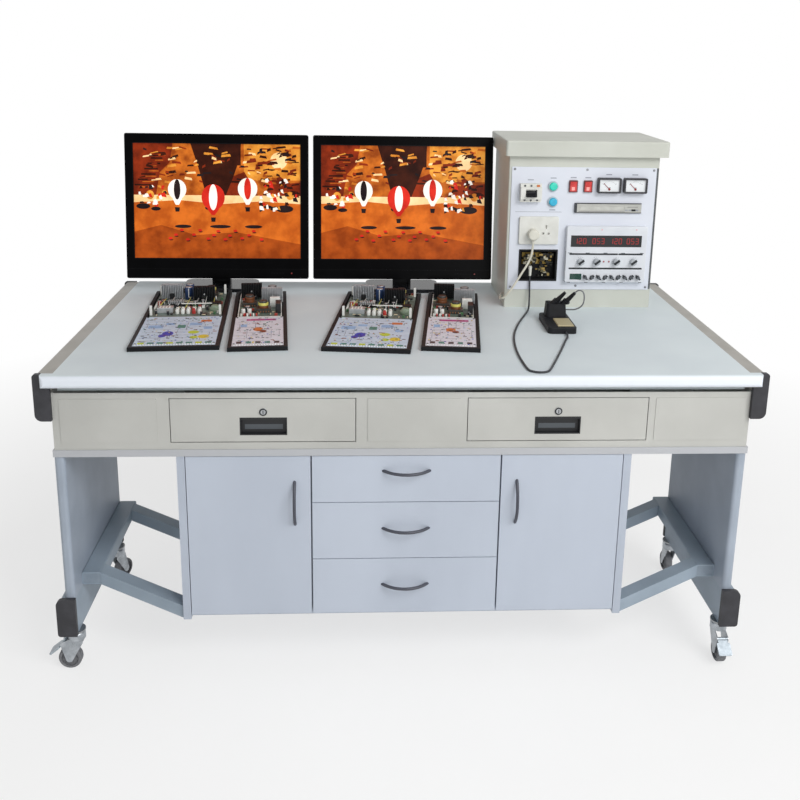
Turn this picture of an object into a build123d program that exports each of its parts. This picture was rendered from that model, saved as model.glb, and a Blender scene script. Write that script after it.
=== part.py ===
from build123d import *
import os
from math import atan, cos, radians, sin, tan

os.makedirs("parts", exist_ok=True)

# Television assembly trainer, in millimetres. X runs along the bench front, Y runs to its back and Z is up
# from the floor. The bench stands centred on X = 0, and FACE_Y is the plane of its drawer and door fronts.

# Clearances shared by all fits
RUNNING_FIT = 0.05
SEAT_GAP = 0.3
SWING_GAP = 2

# Worktop
TOP_HEIGHT = 828
SLAB_LENGTH = 1724
SLAB_DEPTH = 935
SLAB_THICKNESS = 30
NOSING_LENGTH = 1780
NOSING_DEPTH = 25
NOSING_HEIGHT = 33
NOSING_ROUND = 12
SPACER_HEIGHT = 21
SPACER_INSET = 19
SPACER_BAR = 40

# Side rails, foot rails and their end caps
SIDE_RAIL_WIDTH = 32
SIDE_RAIL_HEIGHT = 113
SIDE_RAIL_ROUND = 10
TUBE_WALL = 3
RAIL_STOP_SHORT = 12
FOOT_RAIL_WIDTH = 42
FOOT_RAIL_HEIGHT = 100
FOOT_RAIL_ROUND = 12
CAP_THICKNESS = 12
CAP_REACH_OUT = 5
CAP_REACH_IN = 2
CAP_TIGHT_ROUND = 8
CAP_WIDE_ROUND = 17
CAP_EDGE = 2

# Drawer housing of folded steel sheet
FACE_Y = -445
HOUSING_LENGTH = 1744
HOUSING_DEPTH = 915
HOUSING_HEIGHT = 149
SHEET = 2
HOUSING_FLOOR_DEPTH = 440
HOUSING_WALL = 1
EMBOSS = 1.5
EMBOSS_HEIGHT = 114
LEFT_PANEL_X = -736
LEFT_PANEL_WIDTH = 235
MIDDLE_PANEL_X = 17
MIDDLE_PANEL_WIDTH = 232
RIGHT_PANEL_X = 744
RIGHT_PANEL_WIDTH = 232

# Desk drawers
DESK_DRAWER_LEFT_X = -358
DESK_DRAWER_RIGHT_X = 380
DESK_FRONT_WIDTH = 456
DESK_FRONT_HEIGHT = 113
DESK_FRONT_THICKNESS = 16
DESK_BOX_DEPTH = 400
DESK_BOX_HEIGHT = 84
DESK_BOX_INSET = 14
DESK_BOX_LIFT = 6
PULL_WIDTH = 116
PULL_HEIGHT = 45
PULL_DEPTH = 13
PULL_WALL = 2
PULL_DROP = 16
PULL_LIP = 3
LOCK_DIAMETER = 20
LOCK_RISE = 22
LOCK_PROUD = 2
LOCK_TAIL = 6
LOCK_SLOT = 2.5
CAM_LENGTH = 26
CAM_WIDTH = 10
CAM_THICKNESS = 2
RUNNER_SHEET = 2
RUNNER_FLANGE = 13
RUNNER_HEIGHT = 18

# Leg panels and frame
APRON_HEIGHT = 18
APRON_BAR = 30
APRON_WALL = 1.5
APRON_PROUD = 3
LEG_THICKNESS = 26
LEG_DEPTH = 478
LEG_FRONT_ROUND = 10
FOOT_HEIGHT = 113
FRAME_WIDTH = 1700
SIDE_TUBE_WIDTH = 50
SIDE_TUBE_HEIGHT = 35
SIDE_TUBE_FRONT = 67
SIDE_TUBE_LENGTH = 408
SIDE_TUBE_LIFT = 3
BRACE_WIDTH = 44
BRACE_FALL = 66
BRACE_FORWARD = 58
FRONT_BRACE_Y = -380
REAR_BRACE_Y = -30
TUBE_ROUND = 4

# Cabinet
CABINET_WIDTH = 1152
CABINET_DEPTH = 420
CABINET_FLOOR = 150
BOARD = 20
PARTITION = 16
PARTITION_X = 241
BACK_BOARD = 6
TOP_BOARD = 18
BOTTOM_BOARD = 13
FRONT_THICKNESS = 18
FRONT_REBATE = 1
DOOR_INNER_X = 243
DRAWER_FRONT_WIDTH = 478
FRONT_TOP_GAP = 2
DRAWER_TOP_HEIGHT = 127
DRAWER_MIDDLE_HEIGHT = 157
DRAWER_BOX_DEPTH = 350
DRAWER_BOARD = 12
DRAWER_FLOOR = 6
DRAWER_BOX_DROP = 26
DRAWER_BOX_LIFT = 12
CABINET_RUNNER_SHORT = 8
BOW_CHORD = 116
BOW_RISE = 26
BOW_ROD = 8
TOP_HANDLE_RISE = 22
MIDDLE_HANDLE_RISE = 6
BOTTOM_HANDLE_RISE = 4
DOOR_HANDLE_X = 283
DOOR_HANDLE_Z = 479
HINGE_ARM_LENGTH = 60
HINGE_ARM_WIDTH = 14
HINGE_ARM_HEIGHT = 20
HINGE_ARM_INSET = 90

# Casters
CASTER_X = 860
CASTER_FRONT_Y = -420
CASTER_REAR_INSET = 25
WHEEL_DIAMETER = 60
WHEEL_WIDTH = 24
TYRE_ROUND = 5
WEB_RECESS = 5
RIM_DEPTH = 8
HUB_DIAMETER = 20
AXLE_DIAMETER = 8
TRAIL = 20
FLANGE_DIAMETER = 46
FLANGE_THICKNESS = 4
STEM_DIAMETER = 10
STEM_LENGTH = 16
HEAD_DIAMETER = 44
HEAD_THICKNESS = 22
HEAD_ROUND = 9
CHEEK = 2.5
CHEEK_GAP = 1
CHEEK_TOP = 34
AXLE_BOSS = 9
PEDAL_HINGE_TRAIL = 35
PEDAL_HINGE_HEIGHT = 73
PEDAL_PIN = 5
PEDAL_EAR = 6
PEDAL_LENGTH = 45
PEDAL_WIDTH = 36
PEDAL_THICKNESS = 4
PEDAL_SLOPE = 38.5
PEDAL_NECK = 11
FRONT_LEFT_TURN = 180
FRONT_RIGHT_TURN = 270
REAR_LEFT_TURN = 60
REAR_RIGHT_TURN = 90

# Television sets and stands
TV_LEFT_X = -579
TV_RIGHT_X = 18
TV_FROM_REAR = 130
TV_LIFT = 42
TV_WIDTH = 582
TV_HEIGHT = 463
TV_TILT = 8
BEZEL_TOP = 31
BEZEL_SIDE = 26
BEZEL_BOTTOM = 66
BEZEL_THICKNESS = 22
BEZEL_ROUND = 6
SCREEN_RECESS = 5
SHELL_DEPTH = 35
SHELL_INSET = 16
SHELL_TAPER = 34
SHELL_WALL = 4
SCREEN_THICKNESS = 4
TV_PIVOT_RISE = 60
TV_PIVOT_BACK = 12
KNUCKLE_RADIUS = 10
KNUCKLE_LENGTH = 43.4
TV_PIN = 8
EAR_THICKNESS = 8
EAR_RADIUS = 11
EAR_FOOT = 27
STAND_WIDTH = 240
STAND_FROM_REAR = 148
STAND_DEPTH = 140
STAND_THICKNESS = 12
STAND_ROUND = 24
NECK_PLATE = 8
NECK_HEIGHT = 60

# Console case and panel
CONSOLE_X = 555
CONSOLE_FRONT_Y = 175
CONSOLE_WIDTH = 458
CONSOLE_DEPTH = 300
CONSOLE_HEIGHT = 470
CONSOLE_WALL = 1.2
CONSOLE_ROUND = 4
COWL_WIDTH = 494
COWL_SHIFT = 4
COWL_HEIGHT = 47
COWL_FRONT = 20
COWL_BACK = 12
COWL_ROUND = 8
PANEL_WIDTH = 441
PANEL_HEIGHT = 379
PANEL_BASE = 58
PANEL_THICKNESS = 3

# Places on the console panel: across from the console's middle, and up from the worktop
BREAKER_AT = (-163, 360.5)
BREAKER_SIZE = (64, 55)
BREAKER_DEPTH = 24
BREAKER_STEP = 8
BREAKER_SHOULDER = 9
LEVER_SLOT = (34, 22)
LEVER_WIDTH = 30
LEVER_BARREL = 12
LEVER_REACH = 19
LEVER_THICKNESS = 6
LEVER_ANGLE = 25
GREEN_BUTTON_AT = (-94, 379)
BLUE_BUTTON_AT = (-93, 332)
BUTTON_DIAMETER = 25
BUTTON_HEIGHT = 11
BUTTON_STAND = 5
BUTTON_DOME = 4
RING_DIAMETER = 32
RING_HEIGHT = 6
ROCKER_LEFT_AT = (-33, 380)
ROCKER_RIGHT_AT = (12, 380)
ROCKER_FRAME = (26, 36)
ROCKER_SIZE = (20, 29.4)
FRAME_HEIGHT = 6
ROCKER_PIVOT = 5
ROCKER_ANGLE = 7
METER_LEFT_AT = (75.5, 384)
METER_RIGHT_AT = (155.5, 384)
METER_SIZE = (71, 46)
METER_DEPTH = 16
METER_FRAME = 5
METER_RECESS = 6
METER_ROUND = 4
DIAL_THICKNESS = 1
NEEDLE_LENGTH = 25
NEEDLE_WIDTH = 1.6
NEEDLE_THICKNESS = 0.8
NEEDLE_HUB = 7
NEEDLE_DROP = 11
NEEDLE_ANGLE = 45
PLAYER_AT = (77, 314.5)
PLAYER_SIZE = (204, 25)
PLAYER_PROUD = 8
PLAYER_DEPTH = 150
PLAYER_SHRINK = 1.5
TRAY_SLOT = (136, 12)
TRAY_SLOT_SHIFT = -18
TRAY_FIT = 0.5
TRAY_LENGTH = 138
TRAY_BED = 5
TRAY_FRONT = 4
DISC_RECESS_DIAMETER = 121
DISC_RECESS_DEPTH = 2
EJECT_AT = (155, 309)
EJECT_SIZE = (12, 5)
EJECT_HEIGHT = 3.5
EJECT_POCKET = 4
EJECT_SEATED = 1.5
SOCKET_AT = (-132.5, 244)
SOCKET_SIZE = (121, 86)
SOCKET_DEPTH = 9
SOCKET_ROUND = 5
SOCKET_HOLE = 7
SOCKET_HOLE_DEPTH = 7
SOCKET_GANG = 22
SOCKET_PITCH = 17
SOCKET_EARTH = (6, 11)
WINDOW_AT = (-129, 134.5)
WINDOW_SIZE = (114, 93)
WINDOW_DEPTH = 34
WINDOW_WALL = 2
WINDOW_LIP = 3
JACK_RAIL_HEIGHT = 14
JACK_RAIL_DEPTH = 9
JACK_DIAMETER = 11
JACK_LENGTH = 14
JACK_PITCH = 22
SUPPLY_AT = (77.5, 172.5)
SUPPLY_SIZE = (249, 175)
SUPPLY_DEPTH = 18
SUPPLY_ROUND = 5
DISPLAY_AT = (75.5, 214)
DISPLAY_SIZE = (219, 36)
DISPLAY_DEPTH = 2
GROOVE_LENGTH = 228
GROOVE_HEIGHT = 3
GROOVE_DEPTH = 2
UPPER_GROOVE_Z = 174
LOWER_GROOVE_Z = 129
KNOB_XS = (-1, 49, 109, 162)
KNOB_Z = 151
KNOB_DIAMETER = 20
KNOB_HEIGHT = 14
KNOB_SHAFT = 6
KNOB_SHAFT_LENGTH = 10
KNOB_RIB = 2
SUPPLY_ROCKER_AT = (-13.5, 103)
SUPPLY_ROCKER_SIZE = (36, 18)
ROCKER_POCKET = 7
POST_COUNT = 9
POST_PITCH = 20.5
POSTS_AT = (98, 102)
POST_DIAMETER = 9
POST_LENGTH = 13
POST_COLLAR = 12
POST_COLLAR_LENGTH = 3
LED_COUNT = 2
LED_PITCH = 16
LEDS_AT = (79, 151)
LED_DIAMETER = 5

# Board trays: the wide and the narrow tray of each set, placed by centre and turn
WIDE_TRAY = (236, 594)
NARROW_TRAY = (158, 586)
TRAY_HEIGHT = 12
TRAY_FLOOR = 3
TRAY_MARGIN = 11
TRAY_CHAMFER = 1.5
PANEL_SHARE_FRONT = 278
PRINT_THICKNESS = 3
PRINT_LIFT = 5
CIRCUIT_THICKNESS = 1.6
CIRCUIT_LIFT = 7
CIRCUIT_INSET = 4
WIDE_LEFT_AT = (-628, 26)
WIDE_LEFT_TURN = 4.2
NARROW_LEFT_AT = (-412, 20)
NARROW_LEFT_TURN = 4.8
WIDE_RIGHT_AT = (-73, 11)
WIDE_RIGHT_TURN = -6.1
NARROW_RIGHT_AT = (150, 15)
NARROW_RIGHT_TURN = -5.8
POST_SQUARE = 7
POST_HEIGHT = 30
SOCKET_BODY = 11
SOCKET_BODY_HEIGHT = 16
CAN_SMALL = 12
CAN_SMALL_HEIGHT = 18
CAN_LARGE = 26
CAN_LARGE_HEIGHT = 38
SINK_WIDTH = 64
SINK_DEPTH = 22
SINK_HEIGHT = 46
SINK_FIN = 2
SINK_FIN_COUNT = 7
SINK_SPINE = 4
TRANSFORMER_CORE = (44, 34, 12)
TRANSFORMER_COIL = 30
TRANSFORMER_HEIGHT = 34
TUNER_SIZE = (46, 30, 16)

# Soldering stand
STAND_X = 453
SOLDER_FRONT_Y = -114
SOLDER_WIDTH = 82
SOLDER_DEPTH = 164
SOLDER_HEIGHT = 18
SOLDER_ROUND = 12
SPONGE_SIZE = (46, 76)
SPONGE_AT = (12, 54)
SPONGE_POCKET = 6
SPONGE_PROUD = 3
HOLDER_SIZE = (62, 46)
HOLDER_HEIGHT = 40
HOLDER_AT = (2, 132)
HOLDER_ROUND = 10
IRON_DIAMETER = 15
IRON_LENGTH = 58
IRON_TAPER = 3
IRON_COLLAR = 22
IRON_LEAN_X = 36
IRON_LEAN_Y = 24
FIRST_IRON_AT = (19, 120)
SECOND_IRON_AT = (-9, 124)

# Cords
POWER_CORD_DIAMETER = 6.5
IRON_CORD_DIAMETER = 5.5
IRON_LEAD_DIAMETER = 4
PLUG_AT = (-151, 234)
PLUG_DIAMETER = 34
PLUG_DEPTH = 26
PLUG_EDGE = 5
PLUG_BOOT = 12
PLUG_BOOT_LENGTH = 10
GLAND_Y = 222
GLAND_LIFT = 28
GLAND_DIAMETER = 13
GLAND_LENGTH = 22
GLAND_TURN = 18
GLAND_STRAIGHT = 34
BOOT_DIAMETER = 10
BOOT_LENGTH = 30

# Planes and lines that follow from the sizes above
SLAB_BOTTOM = TOP_HEIGHT - SLAB_THICKNESS
HOUSING_TOP = SLAB_BOTTOM - SPACER_HEIGHT
HOUSING_BOTTOM = HOUSING_TOP - HOUSING_HEIGHT
APRON_BOTTOM = HOUSING_BOTTOM - APRON_HEIGHT
FOOT_RAIL_TOP = FOOT_HEIGHT + FOOT_RAIL_HEIGHT
SLAB_HALF = SLAB_LENGTH / 2
HOUSING_HALF = HOUSING_LENGTH / 2
FRAME_HALF = FRAME_WIDTH / 2
LEG_OUTER = FRAME_HALF + LEG_THICKNESS
SLAB_REAR = FACE_Y + SLAB_DEPTH
HOUSING_REAR = FACE_Y + HOUSING_DEPTH
RAIL_REAR = SLAB_REAR - RAIL_STOP_SHORT
LEG_REAR = FACE_Y + LEG_DEPTH
CASTER_REAR_Y = LEG_REAR - CASTER_REAR_INSET
TV_FRONT_Y = SLAB_REAR - TV_FROM_REAR
STAND_FRONT_Y = SLAB_REAR - STAND_FROM_REAR
DESK_FRONT_Z = HOUSING_BOTTOM + (HOUSING_HEIGHT - DESK_FRONT_HEIGHT) / 2 + 2
CABINET_HALF = CABINET_WIDTH / 2
CABINET_REAR = FACE_Y + CABINET_DEPTH
FRONT_BACK = FACE_Y + FRONT_THICKNESS
PANEL_Y = CONSOLE_FRONT_Y - PANEL_THICKNESS


def board(x, y, z):
    """A flat board between its low and high X, Y and Z."""
    with BuildPart() as piece:
        with BuildSketch(Plane.XY.offset(z[0])):
            with Locations(((x[0] + x[1]) / 2, (y[0] + y[1]) / 2)):
                Rectangle(x[1] - x[0], y[1] - y[0])
        extrude(amount=z[1] - z[0])
    return piece.part


def plate(at, size, y, thickness, corner):
    """An upright plate with rounded corners that stands forward of the plane Y = y."""
    with BuildPart() as piece:
        with BuildSketch(Plane.XZ.offset(-y)):
            with Locations(at):
                RectangleRounded(size[0], size[1], corner)
        extrude(amount=thickness)
    return piece.part


def on_panel(place):
    """A place on the console panel as X and Z."""
    return (CONSOLE_X + place[0], TOP_HEIGHT + place[1])


def mirrored(piece):
    """The same piece on the other side of the bench's middle plane."""
    return piece.mirror(Plane.YZ)


def write(name, *pieces):
    """Label one sub-part and write it as its own file."""
    whole = pieces[0] if len(pieces) == 1 else Compound(children=list(pieces))
    whole.label = name
    export_step(whole, f"parts/{name}.step")


# Worktop: laminate slab, rounded nosing along the front, recessed spacer bars under it
with BuildPart() as slab:
    with BuildSketch(Plane.XY.offset(SLAB_BOTTOM)):
        with Locations((0, (FACE_Y + SLAB_REAR) / 2)):
            Rectangle(SLAB_LENGTH, SLAB_DEPTH)
    extrude(amount=SLAB_THICKNESS)

with BuildPart() as nosing:
    with BuildSketch(Plane.XY.offset(TOP_HEIGHT - NOSING_HEIGHT)):
        with Locations((0, FACE_Y - NOSING_DEPTH / 2)):
            Rectangle(NOSING_LENGTH, NOSING_DEPTH)
    extrude(amount=NOSING_HEIGHT)
    front = nosing.faces().sort_by(Axis.Y)[0]
    fillet(front.edges(), NOSING_ROUND)

spacer_z = (HOUSING_TOP, SLAB_BOTTOM)
spacer_x = SLAB_HALF - CAP_REACH_IN
spacer_front = FACE_Y + SPACER_INSET
write(
    "worktop",
    slab.part,
    nosing.part,
    board((-spacer_x, spacer_x), (spacer_front, spacer_front + SPACER_BAR), spacer_z),
    board((-spacer_x, spacer_x), (HOUSING_REAR - SPACER_BAR, HOUSING_REAR), spacer_z),
    board(
        (-spacer_x, -spacer_x + SPACER_BAR),
        (spacer_front + SPACER_BAR, HOUSING_REAR - SPACER_BAR),
        spacer_z,
    ),
    board(
        (spacer_x - SPACER_BAR, spacer_x),
        (spacer_front + SPACER_BAR, HOUSING_REAR - SPACER_BAR),
        spacer_z,
    ),
)

# Side rails: an upright bar with a lip that closes the slab's end
rail_outer = HOUSING_HALF + SIDE_RAIL_WIDTH
with BuildPart() as side_rail:
    with BuildSketch(Plane.XZ.offset(-FACE_Y)) as rail_section:
        with Locations((HOUSING_HALF + SIDE_RAIL_WIDTH / 2, TOP_HEIGHT - SIDE_RAIL_HEIGHT / 2)):
            Rectangle(SIDE_RAIL_WIDTH, SIDE_RAIL_HEIGHT)
        fillet(rail_section.vertices().group_by(Axis.X)[-1], SIDE_RAIL_ROUND)
        with Locations((HOUSING_HALF + SIDE_RAIL_WIDTH / 2, TOP_HEIGHT - SIDE_RAIL_HEIGHT / 2)):
            RectangleRounded(
                SIDE_RAIL_WIDTH - 2 * TUBE_WALL,
                SIDE_RAIL_HEIGHT - 2 * TUBE_WALL,
                SIDE_RAIL_ROUND - TUBE_WALL,
                mode=Mode.SUBTRACT,
            )
    extrude(amount=FACE_Y - RAIL_REAR)
rail_lip = board((SLAB_HALF, HOUSING_HALF), (FACE_Y, RAIL_REAR), (SLAB_BOTTOM, TOP_HEIGHT))
write("side_rails", side_rail.part, rail_lip, mirrored(side_rail.part), mirrored(rail_lip))

# Foot rails under the leg panels
foot_outer = FRAME_HALF + FOOT_RAIL_WIDTH
with BuildPart() as foot_rail:
    with BuildSketch(Plane.XZ.offset(-FACE_Y)) as foot_section:
        with Locations(((FRAME_HALF + foot_outer) / 2, (FOOT_HEIGHT + FOOT_RAIL_TOP) / 2)):
            Rectangle(FOOT_RAIL_WIDTH, FOOT_RAIL_HEIGHT)
        fillet(foot_section.vertices().group_by(Axis.X)[-1], FOOT_RAIL_ROUND)
        with Locations(((FRAME_HALF + foot_outer) / 2, (FOOT_HEIGHT + FOOT_RAIL_TOP) / 2)):
            RectangleRounded(
                FOOT_RAIL_WIDTH - 2 * TUBE_WALL,
                FOOT_RAIL_HEIGHT - 2 * TUBE_WALL,
                FOOT_RAIL_ROUND - TUBE_WALL,
                mode=Mode.SUBTRACT,
            )
    extrude(amount=FACE_Y - LEG_REAR)


def end_cap(x, z, y, top_round, bottom_round):
    """A moulded cap that closes a rail's end, from plane y backwards by its thickness."""
    with BuildPart() as cap:
        with BuildSketch(Plane.XZ.offset(-y)) as outline:
            with Locations(((x[0] + x[1]) / 2, (z[0] + z[1]) / 2)):
                Rectangle(x[1] - x[0], z[1] - z[0])
            fillet(outline.vertices().group_by(Axis.X)[-1].sort_by(Axis.Y)[0], bottom_round)
            fillet(outline.vertices().group_by(Axis.X)[-1].sort_by(Axis.Y)[-1], top_round)
        extrude(amount=-CAP_THICKNESS)
    return cap.part


rail_cap_x = (HOUSING_HALF - CAP_REACH_IN, rail_outer + CAP_REACH_OUT)
rail_cap_z = (TOP_HEIGHT - SIDE_RAIL_HEIGHT - CAP_REACH_OUT - CAP_REACH_IN, TOP_HEIGHT + 1)
foot_cap_x = (FRAME_HALF - CAP_REACH_IN, foot_outer + CAP_REACH_OUT)
foot_cap_z = (FOOT_HEIGHT - CAP_REACH_IN, FOOT_RAIL_TOP + CAP_REACH_OUT)
with BuildPart() as front_rail_cap:
    add(end_cap(rail_cap_x, rail_cap_z, FACE_Y - CAP_THICKNESS, CAP_TIGHT_ROUND, CAP_WIDE_ROUND))
    with BuildSketch(Plane.XY.offset(TOP_HEIGHT - NOSING_HEIGHT - SEAT_GAP)):
        with Locations((0, FACE_Y - NOSING_DEPTH / 2)):
            Rectangle(NOSING_LENGTH + 2 * SEAT_GAP, NOSING_DEPTH)
    extrude(amount=NOSING_HEIGHT * 2, mode=Mode.SUBTRACT)
rear_rail_cap = end_cap(rail_cap_x, rail_cap_z, RAIL_REAR, CAP_TIGHT_ROUND, CAP_WIDE_ROUND)
front_foot_cap = end_cap(
    foot_cap_x, foot_cap_z, FACE_Y - CAP_THICKNESS, CAP_WIDE_ROUND, CAP_TIGHT_ROUND
)
rear_foot_cap = end_cap(foot_cap_x, foot_cap_z, LEG_REAR, CAP_WIDE_ROUND, CAP_TIGHT_ROUND)
caps = [front_rail_cap.part, rear_rail_cap, front_foot_cap, rear_foot_cap]
write("end_caps", *caps, *[mirrored(cap) for cap in caps])

# Leg panels
with BuildPart() as leg_panel:
    with BuildSketch(Plane.XY.offset(FOOT_RAIL_TOP)) as leg_section:
        with Locations(((FRAME_HALF + LEG_OUTER) / 2, (FACE_Y + LEG_REAR) / 2)):
            Rectangle(LEG_THICKNESS, LEG_DEPTH)
        fillet(leg_section.vertices().group_by(Axis.Y)[0], LEG_FRONT_ROUND)
    extrude(amount=APRON_BOTTOM - FOOT_RAIL_TOP)
write("leg_panels", leg_panel.part, mirrored(leg_panel.part))

# Base frame: foot rails, apron bars, side tubes and the braces that carry the cabinet
tube_bottom = FOOT_RAIL_TOP + SIDE_TUBE_LIFT
tube_inner = FRAME_HALF - SIDE_TUBE_WIDTH
tube_front = FACE_Y + SIDE_TUBE_FRONT
with BuildPart() as side_tube:
    with BuildSketch(Plane.XZ.offset(-tube_front)) as tube_section:
        with Locations(((tube_inner + FRAME_HALF) / 2, tube_bottom + SIDE_TUBE_HEIGHT / 2)):
            Rectangle(SIDE_TUBE_WIDTH, SIDE_TUBE_HEIGHT)
        fillet(tube_section.vertices(), TUBE_ROUND)
        with Locations(((tube_inner + FRAME_HALF) / 2, tube_bottom + SIDE_TUBE_HEIGHT / 2)):
            Rectangle(
                SIDE_TUBE_WIDTH - 2 * TUBE_WALL,
                SIDE_TUBE_HEIGHT - 2 * TUBE_WALL,
                mode=Mode.SUBTRACT,
            )
    extrude(amount=-SIDE_TUBE_LENGTH)


def brace(front_y):
    """A tube that falls and comes forward from the side tube to the cabinet's side."""
    with BuildPart() as tube:
        with BuildSketch(Plane.YZ.offset(tube_inner)):
            with Locations((front_y + BRACE_WIDTH / 2, tube_bottom + SIDE_TUBE_HEIGHT / 2)):
                Rectangle(BRACE_WIDTH, SIDE_TUBE_HEIGHT)
        with BuildSketch(Plane.YZ.offset(CABINET_HALF)):
            with Locations(
                (
                    front_y - BRACE_FORWARD + BRACE_WIDTH / 2,
                    tube_bottom - BRACE_FALL + SIDE_TUBE_HEIGHT / 2,
                )
            ):
                Rectangle(BRACE_WIDTH, SIDE_TUBE_HEIGHT)
        loft(ruled=True)
    return tube.part


def hollow_bar(x, y, z, along):
    """A rectangular tube between its low and high X, Y and Z, open along one axis."""
    plane = Plane.YZ if along == "X" else Plane.XZ
    low, high = (x[0], x[1]) if along == "X" else (-y[1], -y[0])
    across = y if along == "X" else x
    with BuildPart() as bar:
        with BuildSketch(plane.offset(low)):
            with Locations(((across[0] + across[1]) / 2, (z[0] + z[1]) / 2)):
                Rectangle(across[1] - across[0], z[1] - z[0])
                Rectangle(
                    across[1] - across[0] - 2 * APRON_WALL,
                    z[1] - z[0] - 2 * APRON_WALL,
                    mode=Mode.SUBTRACT,
                )
        extrude(amount=high - low)
    return bar.part


apron_z = (APRON_BOTTOM, HOUSING_BOTTOM)
apron_front = FACE_Y - APRON_PROUD
apron_x = LEG_OUTER
apron_middle = (apron_front + APRON_BAR, HOUSING_REAR - APRON_BAR)
frame_right = [foot_rail.part, side_tube.part, brace(FRONT_BRACE_Y), brace(REAR_BRACE_Y)]
frame_right.append(hollow_bar((apron_x - APRON_BAR, apron_x), apron_middle, apron_z, "Y"))
write(
    "base_frame",
    hollow_bar((-apron_x, apron_x), (apron_front, apron_front + APRON_BAR), apron_z, "X"),
    hollow_bar((-apron_x, apron_x), (HOUSING_REAR - APRON_BAR, HOUSING_REAR), apron_z, "X"),
    *frame_right,
    *[mirrored(piece) for piece in frame_right],
)

# Drawer housing: front sheet with two openings, three embossed fields, back, sides and floor
desk_drawer_z = DESK_FRONT_Z + DESK_FRONT_HEIGHT / 2
front_y = (FACE_Y, FACE_Y + SHEET)
opening_half = DESK_FRONT_WIDTH / 2 + SWING_GAP
opening_z = (DESK_FRONT_Z - SWING_GAP, DESK_FRONT_Z + DESK_FRONT_HEIGHT + SWING_GAP)
front_edges = (
    -HOUSING_HALF,
    DESK_DRAWER_LEFT_X - opening_half,
    DESK_DRAWER_LEFT_X + opening_half,
    DESK_DRAWER_RIGHT_X - opening_half,
    DESK_DRAWER_RIGHT_X + opening_half,
    HOUSING_HALF,
)
front_sheet = [
    board(front_edges[0:2], front_y, (HOUSING_BOTTOM, HOUSING_TOP)),
    board(front_edges[2:4], front_y, (HOUSING_BOTTOM, HOUSING_TOP)),
    board(front_edges[4:6], front_y, (HOUSING_BOTTOM, HOUSING_TOP)),
]
for span in (front_edges[1:3], front_edges[3:5]):
    front_sheet.append(board(span, front_y, (HOUSING_BOTTOM, opening_z[0])))
    front_sheet.append(board(span, front_y, (opening_z[1], HOUSING_TOP)))

housing_z = (HOUSING_BOTTOM, HOUSING_TOP)
inside_y = (FACE_Y + SHEET, HOUSING_REAR - HOUSING_WALL)
fields = [
    plate((x, desk_drawer_z), (width, EMBOSS_HEIGHT), FACE_Y, EMBOSS, CAP_EDGE)
    for x, width in (
        (LEFT_PANEL_X, LEFT_PANEL_WIDTH),
        (MIDDLE_PANEL_X, MIDDLE_PANEL_WIDTH),
        (RIGHT_PANEL_X, RIGHT_PANEL_WIDTH),
    )
]
write(
    "drawer_housing",
    *front_sheet,
    *fields,
    board((-HOUSING_HALF, HOUSING_HALF), (HOUSING_REAR - HOUSING_WALL, HOUSING_REAR), housing_z),
    board((-HOUSING_HALF, -HOUSING_HALF + HOUSING_WALL), inside_y, housing_z),
    board((HOUSING_HALF - HOUSING_WALL, HOUSING_HALF), inside_y, housing_z),
    board(
        (-HOUSING_HALF + HOUSING_WALL, HOUSING_HALF - HOUSING_WALL),
        (FACE_Y + SHEET, FACE_Y + HOUSING_FLOOR_DEPTH),
        (HOUSING_BOTTOM, HOUSING_BOTTOM + SHEET),
    ),
)

# Desk drawers: front with a recessed pull and a lock, and a folded box behind it
desk_front_back = FACE_Y + DESK_FRONT_THICKNESS
desk_box_half = DESK_FRONT_WIDTH / 2 - DESK_BOX_INSET
desk_box_bottom = DESK_FRONT_Z + DESK_BOX_LIFT
desk_box_rear = desk_front_back + DESK_BOX_DEPTH
pull_z = desk_drawer_z - PULL_DROP
lock_z = desk_drawer_z + LOCK_RISE
runners = []


def runner(x, y, side, shelf_z, foot_z):
    """A rail whose shelf carries a drawer's edge; side is +1 where its wall stands on the right."""
    wall_x = sorted((x, x + side * RUNNER_SHEET))
    shelf_x = sorted((x - side * RUNNER_FLANGE, x))
    return [
        board(wall_x, y, (foot_z, shelf_z + RUNNER_HEIGHT)),
        board(shelf_x, y, (shelf_z - RUNNER_SHEET, shelf_z)),
    ]


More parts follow.
